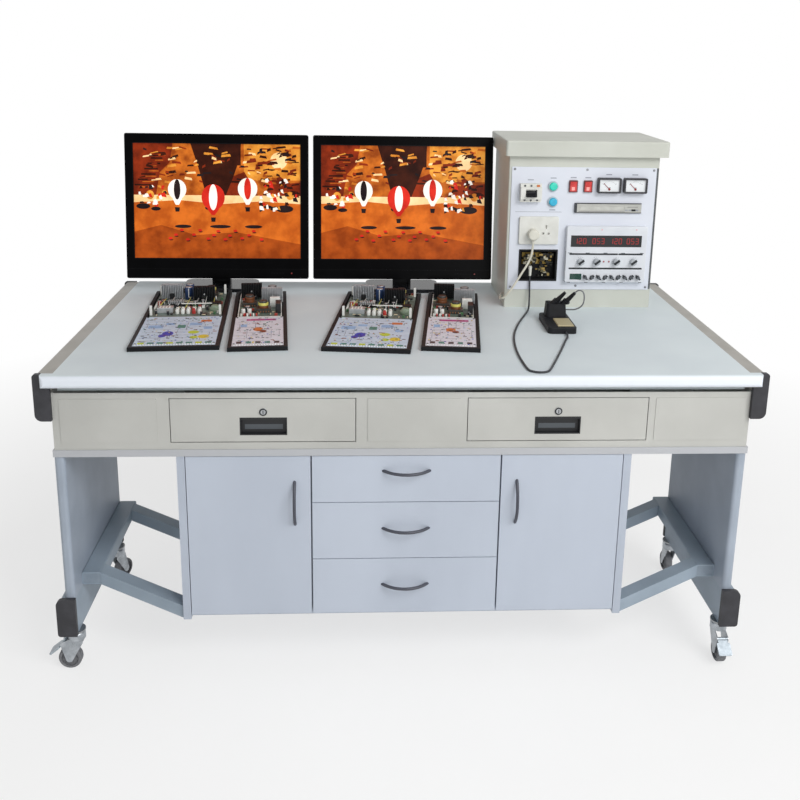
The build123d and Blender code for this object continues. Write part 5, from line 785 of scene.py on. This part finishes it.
def add_print(name, wide):
    """The printed circuit plan of a tray's front panel, with its blocks, lines and test points."""
    looks = (
        ("sheet", "D2E2F2" if wide else "E6E6F0", "C6D8EA" if wide else "DCDCE6"),
        ("blue", "1C46BE", "173AA0"),
        ("lime", "C9D94A", "B8C93C"),
        ("yellow", "EAD24A", "DCC23A"),
        ("sky", "9CC4EA", "8CB4DC"),
        ("teal", "3E8C82", "327A70"),
        ("ink", "7C8494", "6C7484"),
        ("pin", "F0F0EE", "E4E4E0"),
        ("magenta", "B8458E", "A83A7E"),
        ("orange", "D97F4A", "CB6F3A"),
        ("dark", "3A3F44", "2E3338"),
        ("brown", "8A4A3A", "7A3E30"),
    )
    inks = [surface(f"{name}_{key}", base, deep, (0.3, 0.42), 50.0) for key, base, deep in looks]
    sheet, blue, lime, yellow, sky, teal, ink, pin, magenta, orange, dark, brown = range(12)
    half = 107 if wide else 68
    front, rear = (-286, -8) if wide else (-282, -4)
    bm = bmesh.new()
    block(bm, (-half, front, PRINT_TOP), (half, rear, PRINT_TOP + 0.4), sheet, 0.15)
    top = PRINT_TOP + 0.42
    scatter = random.Random(name)
    rows = [front + 44 + 26 * step for step in range(9)]
    for row in rows:
        spans = scatter.randint(2, 4)
        x = -half + 8
        for _ in range(spans):
            length = scatter.uniform(24, half * 0.75)
            if x + length > half - 6:
                break
            block(bm, (x, row, top), (x + length, row + 1.1, top + 0.1), ink)
            x += length + scatter.uniform(6, 18)
    for x in range(-half + 14, half - 8, 22):
        start = scatter.uniform(front + 44, rear - 90)
        length = scatter.uniform(26, 80)
        block(bm, (x, start, top), (x + 1.1, start + length, top + 0.1), ink)
    top += 0.12
    if wide:
        oval(bm, (-28, -176), (30, 44), top, blue)
        oval(bm, (-41, -196), (20, 28), top + 0.05, blue)
        oval(bm, (40, -166), (30, 30), top, lime)
        oval(bm, (70, -208), (30, 34), top, yellow)
        oval(bm, (44, -214), (22, 26), top + 0.05, lime)
        strip(bm, (-68, -110), (40, 30), top, sky)
        strip(bm, (-30, -84), (26, 20), top, sky)
        strip(bm, (40, -86), (34, 26), top, sky)
        strip(bm, (76, -126), (22, 24), top, sky)
        strip(bm, (2, -110), (22, 30), top, teal)
        for step in range(8):
            strip(bm, (-88 + 25 * step, -262), (17, 16), top, teal if step % 3 else lime)
        strip(bm, (66, -56), (30, 20), top, orange)
    else:
        strip(bm, (6, -34), (84, 18), top, magenta)
        oval(bm, (-2, -128), (28, 36), top, orange)
        oval(bm, (12, -148), (20, 22), top + 0.05, brown)
        strip(bm, (-42, -92), (18, 26), top, sky)
        for step in range(5):
            strip(bm, (-50 + 25 * step, -250), (14, 18), top, teal if step % 2 else dark)
    dots = (blue, teal, dark, sky, brown, teal, yellow, dark)
    for _ in range(130 if wide else 95):
        x = scatter.uniform(-half + 7, half - 7)
        y = scatter.uniform(front + 22, rear - 8)
        colour = dots[scatter.randrange(len(dots))]
        size = scatter.uniform(1.4, 3.0)
        rod(bm, (x, y, top), (x, y, top + 0.25), size, size, colour, 10)
    for number in range(34 if wide else 24):
        x = scatter.uniform(-half + 9, half - 9)
        y = scatter.uniform(front + 22, rear - 8)
        size = (scatter.uniform(5, 11), scatter.uniform(2.5, 5), 0.3)
        box_at(bm, (x, y, top), size, dark if number % 3 else brown)
    pitch = 7.2
    count = int((2 * half - 12) / pitch)
    y = front + 8
    for place in range(count + 1):
        x = -half + 6 + place * pitch
        rod(bm, (x, y, PRINT_TOP + 0.4), (x, y, PRINT_TOP + 3.6), 2.1, 1.7, pin, 12, 0.4)
        rod(bm, (x, y, PRINT_TOP + 3.5), (x, y, PRINT_TOP + 3.9), 0.9, 0.9, dark, 8)
    for x in (-half + 5, half - 5):
        for y in (front + 20, rear - 6):
            rod(bm, (x, y, PRINT_TOP + 0.4), (x, y, PRINT_TOP + 1.8), 3.2, 2.6, dark, 16, 0.3)
    place_piece(bm, f"print_{name}", inks, "root", board_place(name))


COMPONENT_LOOKS = (
    ("post_white", "F2F2EE", "E8E8E2"),
    ("can_blue", "24406E", "1C345C"),
    ("can_dark", "2A2C30", "202226"),
    ("sink_black", "1E2024", "16181B"),
    ("sink_pale", "D6D9DC", "C4C8CC"),
    ("core_dark", "3E3B38", "302E2B"),
    ("coil_brown", "7C4A2A", "693C20"),
    ("tape_yellow", "E8E07A", "D8CE66"),
    ("socket_red", "C03A34", "AC2E2A"),
    ("socket_white", "F2F2EE", "E6E6E0"),
    ("case_steel", "CDD0D2", "BABEC0"),
    ("dome_green", "8A9A84", "7A8A74"),
    ("resistor", "D0C2A4", "C0B294"),
    ("chip_black", "18191B", "111214"),
    ("film_red", "A8443A", "943A30"),
    ("film_green", "4E7A52", "416A46"),
    ("copper", "B87A4A", "A66A3C"),
)


def component_finishes():
    """The finishes that all four boards share."""
    made = []
    for key, base, deep in COMPONENT_LOOKS:
        metal = 0.6 if key in ("case_steel", "sink_pale", "copper") else 0.0
        made.append(surface(f"part_{key}", base, deep, (0.3, 0.45), 80.0, metallic=metal))
    return made


(
    POST, CAN_BLUE, CAN_DARK, SINK_BLACK, SINK_PALE, CORE, COIL, TAPE, RED, WHITE, STEEL, DOME,
    RESISTOR, CHIP, FILM_RED, FILM_GREEN, COPPER,
) = range(len(COMPONENT_LOOKS))


def can(bm, at, diameter, height, index):
    """An electrolytic can with a crimped foot, a pale top and its stripe."""
    x, y = at
    radius = diameter / 2
    base = BOARD_TOP
    foot, crimp, top = base + height * 0.12, base + height * 0.18, base + height
    rod(bm, (x, y, base), (x, y, foot), radius, radius, index, 24, 0.4)
    rod(bm, (x, y, foot), (x, y, crimp), radius * 0.93, radius * 0.93, index, 24)
    rod(bm, (x, y, crimp), (x, y, top - 0.8), radius, radius, index, 24, 0.8)
    rod(bm, (x, y, top - 0.9), (x, y, top), radius * 0.84, radius * 0.8, STEEL, 24, 0.2)
    block(bm, (x - 1.2, y - radius, base + 3), (x + 1.2, y - radius + 0.8, base + height - 3), WHITE)


def sink(bm, at, index):
    """A finned heat sink with its transistor and screw."""
    x, y = at
    block(bm, (x - 32, y + 7, BOARD_TOP), (x + 32, y + 11, BOARD_TOP + 46), index, 0.4)
    for step in range(13):
        fin = x - 31 + step * 62 / 12
        block(bm, (fin - 0.8, y - 11, BOARD_TOP + 3), (fin + 0.8, y + 7.2, BOARD_TOP + 46), index, 0.2)
    block(bm, (x - 7, y - 14.5, BOARD_TOP + 4), (x + 7, y - 10.5, BOARD_TOP + 20), CHIP, 0.4)
    rod(bm, (x, y - 10, BOARD_TOP + 24), (x, y - 14, BOARD_TOP + 24), 2.6, 2.2, STEEL, 14, 0.3)


def wound(bm, at, index):
    """A transformer: stacked core, wound coil with a tape, and its pins."""
    x, y = at
    base = BOARD_TOP
    block(bm, (x - 22, y - 17, base), (x + 22, y + 17, base + 12), CORE, 0.8)
    rod(bm, (x, y, base + 12), (x, y, base + 20), 14.6, 14.6, COIL, 28, 0.5)
    rod(bm, (x, y, base + 20), (x, y, base + 28), 15, 15, index, 28, 0.5)
    rod(bm, (x, y, base + 28), (x, y, base + 34), 13, 12, CORE, 28, 0.8)
    for step in range(5):
        for side in (-1, 1):
            pin_x = x - 16 + 8 * step
            rod(bm, (pin_x, y + side * 19, base), (pin_x, y + side * 19, base + 6), 0.8, 0.8, COPPER, 8)


def rows_of_sockets(bm, at):
    """Round sockets in two rows, all white but one, with their bores."""
    pitch = 15.95
    for row in range(2):
        for column in range(5):
            x = at[0] + (column - 2) * pitch
            y = at[1] + (row - 0.5) * pitch
            colour = RED if (row, column) == (0, 3) else WHITE
            rod(bm, (x, y, BOARD_TOP), (x, y, BOARD_TOP + 12), 5.5, 5.5, colour, 20, 0.4)
            rod(bm, (x, y, BOARD_TOP + 11.6), (x, y, BOARD_TOP + 16), 4.0, 4.0, colour, 20, 0.4)
            rod(bm, (x, y, BOARD_TOP + 15.6), (x, y, BOARD_TOP + 16.2), 1.8, 1.8, CHIP, 12)


def small_parts(bm, half, low, high, count, seed, taken):
    """Resistors, films, chips and small cans between the large parts."""
    scatter = random.Random(seed)
    for number in range(count):
        x = scatter.uniform(-half + 6, half - 6)
        y = scatter.uniform(low + 6, high - 6)
        if any(abs(x - a) < w and abs(y - b) < h for a, b, w, h in taken):
            continue
        kind = number % 7
        turned = scatter.random() < 0.5
        if kind in (0, 1, 2):
            along, across = (5, 0) if turned else (0, 5)
            start = (x - along, y - across, BOARD_TOP + 2.6)
            end = (x + along, y + across, BOARD_TOP + 2.6)
            rod(bm, start, end, 1.7, 1.7, RESISTOR, 10, 0.4)
            for side in (-1, 1):
                leg = (x + side * along * 1.15, y + side * across * 1.15)
                rod(bm, (*leg, BOARD_TOP - 0.4), (*leg, BOARD_TOP + 2.8), 0.45, 0.45, STEEL, 6)
        elif kind == 3:
            size = (14, 6.5, 3.4) if turned else (6.5, 14, 3.4)
            box_at(bm, (x, y, BOARD_TOP + 0.6), size, CHIP, 0.3)
        elif kind == 4:
            box_at(bm, (x, y, BOARD_TOP), (9, 4, 8), WHITE if number % 2 else FILM_RED, 0.8)
        elif kind == 5:
            rod(bm, (x, y, BOARD_TOP), (x, y, BOARD_TOP + 11), 3.6, 3.6, CAN_DARK, 16, 0.5)
            rod(bm, (x, y, BOARD_TOP + 10.8), (x, y, BOARD_TOP + 11.2), 2.9, 2.9, STEEL, 16)
        else:
            box_at(bm, (x, y, BOARD_TOP), (6, 6, 7), FILM_GREEN, 0.8)


def add_wide_parts(name, finishes, seed, density):
    """What stands on a wide circuit board."""
    bm = bmesh.new()
    for x in (-99, 99):
        for y in (22, 264):
            box_at(bm, (x, y, BOARD_TOP), (7, 7, 29), POST, 0.6)
            box_at(bm, (x, y, BOARD_TOP + 28.8), (4.5, 4.5, 1.2), STEEL, 0.3)
    rows_of_sockets(bm, (6, 42))
    box_at(bm, (-62, 58, BOARD_TOP), (46, 30, 15), STEEL, 0.8)
    for step in range(4):
        box_at(bm, (-76 + 9 * step, 58, BOARD_TOP + 14.8), (4, 20, 1.2), WHITE, 0.2)
    sink(bm, (-58, 208), SINK_PALE)
    sink(bm, (42, 176), SINK_BLACK)
    rod(bm, (82, 62, BOARD_TOP), (82, 62, BOARD_TOP + 10), 16.9, 16.9, DOME, 32, 1.0)
    rod(bm, (82, 62, BOARD_TOP + 9.6), (82, 62, BOARD_TOP + 18), 15.5, 9.0, DOME, 32, 2.0)
    can(bm, (-8, 208), 26, 38, CAN_BLUE)
    can(bm, (-8, 244), 26, 38, CAN_BLUE)
    wound(bm, (58, 234), TAPE)
    box_at(bm, (-38, 128, BOARD_TOP), (52, 26, 8), CHIP, 0.5)
    for step in range(9):
        box_at(bm, (-60 + 5.4 * step, 128, BOARD_TOP + 8), (2.2, 24, 8), SINK_PALE, 0.3)
    for at, colour in (((20, 110), CAN_DARK), ((42, 122), CAN_DARK), ((-86, 118), FILM_RED)):
        can(bm, at, 12, 18, colour)
    block(bm, (-20, 96, BOARD_TOP + 12), (70, 99, BOARD_TOP + 15), POST, 0.5)
    block(bm, (64, 104, BOARD_TOP), (96, 130, BOARD_TOP + 12), CHIP, 0.6)
    for step in range(10):
        post = (-96, 76 + 7 * step)
        rod(bm, (*post, BOARD_TOP), (*post, BOARD_TOP + 8), 1.8, 1.8, WHITE, 10, 0.4)
    taken = [(6, 42, 46, 20), (-62, 58, 28, 20), (-58, 206, 38, 20), (42, 176, 38, 20), (82, 62, 22, 22),
             (-8, 226, 18, 36), (58, 234, 28, 24), (-38, 128, 32, 18), (80, 117, 20, 18), (-96, 110, 8, 40)]
    for step in range(7):
        start = (-88 + 27 * step, 84 + 9 * (step % 3), BOARD_TOP + 4)
        end = (-70 + 24 * step, 150 + 14 * (step % 2), BOARD_TOP + 16)
        rod(bm, start, end, 1.1, 1.1, WHITE if step % 3 else TAPE, 8)
    small_parts(bm, 101, 4, 282, density, seed, taken)
    piece = place_piece(bm, f"parts_{name}", finishes, "root", board_place(name))
    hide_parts("board_components")


def add_narrow_parts(name, finishes, seed, density):
    """What stands on a narrow circuit board, with its pale edging."""
    bm = bmesh.new()
    wound(bm, (10, 66), TAPE)
    wound(bm, (-32, 134), COIL)
    sink(bm, (-28, 226), SINK_BLACK)
    sink(bm, (36, 168), SINK_PALE)
    box_at(bm, (54, 62, BOARD_TOP), (16, 46, 30), CHIP, 0.8)
    box_at(bm, (44, 116, BOARD_TOP), (30, 16, 30), WHITE, 0.8)
    can(bm, (-48, 36), 12, 18, WHITE)
    can(bm, (-30, 36), 12, 18, WHITE)
    can(bm, (-36, 62), 16.8, 18, CAN_DARK)
    can(bm, (36, 232), 26, 38, CAN_DARK)
    for x in (-62.5, 62.5):
        block(bm, (x - 1.5, 6, BOARD_TOP), (x + 1.5, 276, BOARD_TOP + 1.2), WHITE, 0.2)
    for y in (7, 275):
        block(bm, (-61, y - 1.5, BOARD_TOP), (61, y + 1.5, BOARD_TOP + 1.2), WHITE, 0.2)
    for step in range(6):
        post = (-54 + 9 * step, 14)
        colour = RED if step % 2 else WHITE
        rod(bm, (*post, BOARD_TOP), (*post, BOARD_TOP + 9), 2.4, 2.4, colour, 12, 0.4)
    taken = [(10, 66, 28, 24), (-32, 134, 28, 24), (-28, 226, 38, 20), (36, 168, 38, 20), (54, 62, 12, 28),
             (44, 116, 20, 14), (-40, 36, 20, 12), (-36, 62, 13, 13), (36, 232, 18, 18), (-30, 14, 34, 7)]
    small_parts(bm, 62, 6, 276, density, seed, taken)
    piece = place_piece(bm, f"parts_{name}", finishes, "root", board_place(name))
    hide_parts("board_components")


# Cords


POWER_CORD = (
    (404, 150, 1035), (404, 150, 1009), (394, 147, 978), (372, 144, 942), (351, 140, 908),
    (336, 140, 884), (320, 148, 864), (308.7, 168.7, 856), (319.2, 201.1, 856),
)
IRON_CORD = (
    (402, 165, 931), (402, 165, 900), (403, 161, 868), (401, 150, 843), (395, 127, 831.05),
    (384, 96, 831.05), (365, 46, 831.05), (344, -12, 831.05), (325, -74, 831.05),
    (310, -138, 831.05), (301, -204, 831.05), (296, -270, 831.05), (295, -334, 831.05),
    (300, -429, 831.05), (309.5, -443, 831.05), (325, -450, 831.05), (341.8, -448, 831.05),
    (355, -437, 831.05), (375, -384, 831.05), (394, -333, 831.05), (413, -281, 831.05),
    (431, -230, 831.05), (447, -182, 831.05), (462, -150, 833.05), (462, -114, 833.05),
)
IRON_LEAD = (
    (504.1, -13.7, 922.6), (510.7, -17.8, 931.7), (520.6, -23.8, 932.6), (528.1, -28.4, 925.1),
    (529.5, -28, 900), (524, -20, 882), (508, -4, 869), (496, 5, 867), (484.4, 8, 866),
)


def lay_cord(name, points, diameter, material):
    """A round cord whose centreline is one smooth spline along its route."""
    curve = bpy.data.curves.new(name, "CURVE")
    curve.dimensions = "3D"
    curve.bevel_depth = diameter / 2 * MM
    curve.bevel_resolution = 5
    curve.resolution_u = 10
    curve.use_fill_caps = True
    spline = curve.splines.new("NURBS")
    spline.points.add(len(points) - 1)
    for point, place in zip(spline.points, points):
        point.co = (place[0] * MM, place[1] * MM, place[2] * MM, 1.0)
    spline.order_u = 3
    spline.use_endpoint_u = True
    curve.materials.append(material)
    piece = bpy.data.objects.new(name, curve)
    bpy.context.scene.collection.objects.link(piece)
    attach(piece, "root")
    return piece


def add_cords():
    """The console's mains cord, the soldering iron's cord and the short lead on its handle."""
    white = surface("cord_white", "DDDACB", "CFCCBC", (0.45, 0.6), 60.0, bump=0.15)
    grey = surface("cord_grey", "34363B", "282A2E", (0.5, 0.65), 60.0, bump=0.15)
    pale = surface("lead_grey", "7F8184", "6E7073", (0.4, 0.55), 60.0, bump=0.1)
    power = lay_cord("power_lead", tuple(reversed(POWER_CORD)), 6.5, white)
    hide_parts("power_cord")
    iron = lay_cord("iron_flex", IRON_CORD, 5.5, grey)
    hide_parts("iron_cord")
    lead = lay_cord("handle_lead", IRON_LEAD, 4.0, pale)
    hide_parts("iron_cord")


# Stage


def area_lamp(name, place, aim, size, power):
    """A soft rectangular lamp that looks at a point."""
    lamp = bpy.data.lights.new(name, "AREA")
    lamp.shape = "RECTANGLE"
    lamp.size, lamp.size_y = size
    lamp.energy = power
    holder = bpy.data.objects.new(name, lamp)
    holder.location = place
    holder.rotation_euler = (Vector(aim) - Vector(place)).to_track_quat("-Z", "Y").to_euler()
    bpy.context.scene.collection.objects.link(holder)


def seen_directly(tree):
    """1 for rays from the camera, and for those that gloss or glass sends on."""
    path = add(tree, "ShaderNodeLightPath")
    shown = sums(tree, "MAXIMUM", path.outputs["Is Camera Ray"], path.outputs["Is Glossy Ray"])
    return sums(tree, "MAXIMUM", shown, path.outputs["Is Transmission Ray"])


def set_world(ambient):
    """White where it is seen, and a plain level of light for the object."""
    world = bpy.data.worlds.new("studio")
    bpy.context.scene.world = world
    world.use_nodes = True
    tree = world.node_tree
    tree.nodes.clear()
    light = add(tree, "ShaderNodeBackground")
    light.inputs["Color"].default_value = (1, 1, 1, 1)
    light.inputs["Strength"].default_value = ambient
    white = add(tree, "ShaderNodeBackground")
    white.inputs["Color"].default_value = (1, 1, 1, 1)
    white.inputs["Strength"].default_value = 1.0
    choice = add(tree, "ShaderNodeMixShader")
    tree.links.new(seen_directly(tree), choice.inputs[0])
    tree.links.new(light.outputs[0], choice.inputs[1])
    tree.links.new(white.outputs[0], choice.inputs[2])
    output = add(tree, "ShaderNodeOutputWorld")
    tree.links.new(choice.outputs[0], output.inputs["Surface"])


def lay_floor(clear):
    """A pale floor that keeps the shadow near the bench and turns white further out."""
    half_side, cells = 14.0, 24
    fade, nearby_white = 1.6, 0.66
    bm = bmesh.new()
    bmesh.ops.create_grid(bm, x_segments=cells, y_segments=cells, size=half_side)
    mesh = bpy.data.meshes.new("floor")
    bm.to_mesh(mesh)
    bm.free()
    floor = bpy.data.objects.new("floor", mesh)
    bpy.context.scene.collection.objects.link(floor)
    material = bpy.data.materials.new("floor_paint")
    material.use_nodes = True
    tree = material.node_tree
    shader = tree.nodes["Principled BSDF"]
    place = add(tree, "ShaderNodeTexCoord").outputs["Object"]
    mottle = noise(tree, place, 3.0, 4)
    colour = mixed(tree, remapped(tree, mottle, 0.3, 0.7, 0, 1), tone("F7F7F6"), tone("F3F3F2"))
    tree.links.new(colour, shader.inputs["Base Color"])
    shader.inputs["Roughness"].default_value = 0.85
    distance = add(tree, "ShaderNodeVectorMath", operation="LENGTH")
    tree.links.new(place, distance.inputs[0])
    far = remapped(tree, distance.outputs["Value"], clear, clear + fade, nearby_white, 1)
    white = add(tree, "ShaderNodeEmission")
    white.inputs["Color"].default_value = (1, 1, 1, 1)
    white.inputs["Strength"].default_value = 1.0
    choice = add(tree, "ShaderNodeMixShader")
    tree.links.new(sums(tree, "MULTIPLY", far, seen_directly(tree)), choice.inputs[0])
    tree.links.new(shader.outputs[0], choice.inputs[1])
    tree.links.new(white.outputs[0], choice.inputs[2])
    output = tree.nodes["Material Output"]
    tree.links.new(choice.outputs[0], output.inputs["Surface"])
    mesh.materials.append(material)


def set_camera():
    """The photograph's point of view, with the slight roll of a hand-held camera."""
    ahead = Vector((0.05412, 0.96794, -0.24531))
    right = Vector((0.99844, -0.05582, 0.0))
    above = Vector((0.01369, 0.24493, 0.96945))
    roll = math.radians(1.0)
    side = math.cos(roll) * right + math.sin(roll) * above
    top = math.cos(roll) * above - math.sin(roll) * right
    turn = Matrix((side, top, -ahead)).transposed().to_4x4()
    data = bpy.data.cameras.new("view")
    data.lens = 43.1
    data.sensor_width = 36.0
    data.shift_x = -0.0166
    data.shift_y = -0.1396
    camera = bpy.data.objects.new("view", data)
    camera.matrix_world = Matrix.Translation((-0.1164, -2.6829, 1.6109)) @ turn
    bpy.context.scene.collection.objects.link(camera)
    bpy.context.scene.camera = camera


# Settings, operators and panel


class TrainerLooks(bpy.types.PropertyGroup):
    """How the bench's own pieces are dressed."""

    picture_glow: bpy.props.FloatProperty(
        name="Picture glow", description="Brightness of the television pictures", default=0.72,
        min=0.0, max=2.0,
    )
    display_glow: bpy.props.FloatProperty(
        name="Display glow", description="Brightness of the supply's figures", default=0.5,
        min=0.0, max=2.0,
    )
    board_parts: bpy.props.IntProperty(
        name="Small parts", description="How many small parts are tried on a wide board",
        default=150, min=0, max=400,
    )


class TrainerStage(bpy.types.PropertyGroup):
    """Light and floor round the bench."""

    key_power: bpy.props.FloatProperty(
        name="Key lamp", description="Power of the large lamp at the upper right", default=118.0,
        min=0.0, unit="POWER",
    )
    fill_power: bpy.props.FloatProperty(
        name="Fill lamp", description="Power of the lamp in front", default=30.0, min=0.0,
        unit="POWER",
    )
    ambient: bpy.props.FloatProperty(
        name="Ambient", description="Level of the plain light from all round", default=0.4,
        min=0.0, max=2.0,
    )
    floor_clear: bpy.props.FloatProperty(
        name="Floor radius", description="How far the floor keeps its own colour", default=1.3,
        min=0.5, unit="LENGTH",
    )


class TRAINER_OT_paint_bench(bpy.types.Operator):
    """Give the bench, cabinet, drawers and casters their finishes"""

    bl_idname = "trainer.paint_bench"
    bl_label = "Paint the bench"

    def execute(self, context):
        paint_bench()
        add_tube_covers()
        add_lock_faces()
        return {"FINISHED"}


class TRAINER_OT_paint_console(bpy.types.Operator):
    """Give the console, its instruments and what stands on the bench their finishes"""

    bl_idname = "trainer.paint_console"
    bl_label = "Paint the console"

    def execute(self, context):
        paint_console()
        return {"FINISHED"}


class TRAINER_OT_detail_console(bpy.types.Operator):
    """Add the console panel's screws, marks, scales, keys and lit figures"""

    bl_idname = "trainer.detail_console"
    bl_label = "Detail the console"

    def execute(self, context):
        add_panel_marks()
        add_jack_clutter()
        add_display(context.scene.trainer_looks.display_glow)
        add_knob_pointers()
        return {"FINISHED"}


class TRAINER_OT_television_pictures(bpy.types.Operator):
    """Add the picture and the trim of both television sets"""

    bl_idname = "trainer.television_pictures"
    bl_label = "Television pictures"

    def execute(self, context):
        for body, x in TV_PLACES.items():
            add_picture(body, x, context.scene.trainer_looks.picture_glow)
            add_trim(body, x)
        return {"FINISHED"}


class TRAINER_OT_circuit_boards(bpy.types.Operator):
    """Add the printed plans and the parts of the four circuit boards"""

    bl_idname = "trainer.circuit_boards"
    bl_label = "Circuit boards"

    def execute(self, context):
        density = context.scene.trainer_looks.board_parts
        finishes = component_finishes()
        for seed, name in enumerate(BOARD_PLACES):
            wide = name.startswith("wide")
            add_print(name, wide)
            if wide:
                add_wide_parts(name, finishes, seed + 3, density)
            else:
                add_narrow_parts(name, finishes, seed + 3, density * 2 // 3)
        return {"FINISHED"}


class TRAINER_OT_cords(bpy.types.Operator):
    """Lay the mains cord, the iron's cord and its handle lead"""

    bl_idname = "trainer.cords"
    bl_label = "Cords"

    def execute(self, context):
        add_cords()
        return {"FINISHED"}


class TRAINER_OT_stage(bpy.types.Operator):
    """Set the floor, lamps, surrounding light and camera"""

    bl_idname = "trainer.stage"
    bl_label = "Stage"

    def execute(self, context):
        stage = context.scene.trainer_stage
        context.scene.view_settings.view_transform = "Standard"
        set_world(stage.ambient)
        lay_floor(stage.floor_clear)
        area_lamp("key", (2.4, -3.2, 3.6), (0.1, 0, 0.7), (2.6, 2.0), stage.key_power)
        area_lamp("fill", (1.1, -4.3, 1.7), (0.1, 0, 0.6), (1.5, 2.0), stage.fill_power)
        set_camera()
        return {"FINISHED"}


class TRAINER_PT_sidebar(bpy.types.Panel):
    """Lists what dresses the trainer, in order"""

    bl_idname = "TRAINER_PT_sidebar"
    bl_label = "Television assembly trainer"
    bl_space_type = "VIEW_3D"
    bl_region_type = "UI"
    bl_category = "Trainer"

    def draw(self, context):
        layout = self.layout
        for name in ("picture_glow", "display_glow", "board_parts"):
            layout.prop(context.scene.trainer_looks, name)
        for name in ("key_power", "fill_power", "ambient", "floor_clear"):
            layout.prop(context.scene.trainer_stage, name)
        for operator in OPERATORS:
            layout.operator(operator.bl_idname)


OPERATORS = (
    TRAINER_OT_cords,
    TRAINER_OT_paint_bench,
    TRAINER_OT_paint_console,
    TRAINER_OT_detail_console,
    TRAINER_OT_television_pictures,
    TRAINER_OT_circuit_boards,
    TRAINER_OT_stage,
)
CLASSES = (TrainerLooks, TrainerStage, *OPERATORS, TRAINER_PT_sidebar)


def register():
    """Adds the settings, operators and panel."""
    for item in CLASSES:
        bpy.utils.register_class(item)
    bpy.types.Scene.trainer_looks = bpy.props.PointerProperty(type=TrainerLooks)
    bpy.types.Scene.trainer_stage = bpy.props.PointerProperty(type=TrainerStage)


def unregister():
    """Takes them away again."""
    del bpy.types.Scene.trainer_stage
    del bpy.types.Scene.trainer_looks
    for item in reversed(CLASSES):
        bpy.utils.unregister_class(item)


def main():
    """Dresses the trainer step by step."""
    register()
    bpy.ops.trainer.cords()
    bpy.ops.trainer.paint_bench()
    bpy.ops.trainer.paint_console()
    bpy.ops.trainer.detail_console()
    bpy.ops.trainer.television_pictures()
    bpy.ops.trainer.circuit_boards()
    bpy.ops.trainer.stage()


if __name__ == "__main__":
    main()
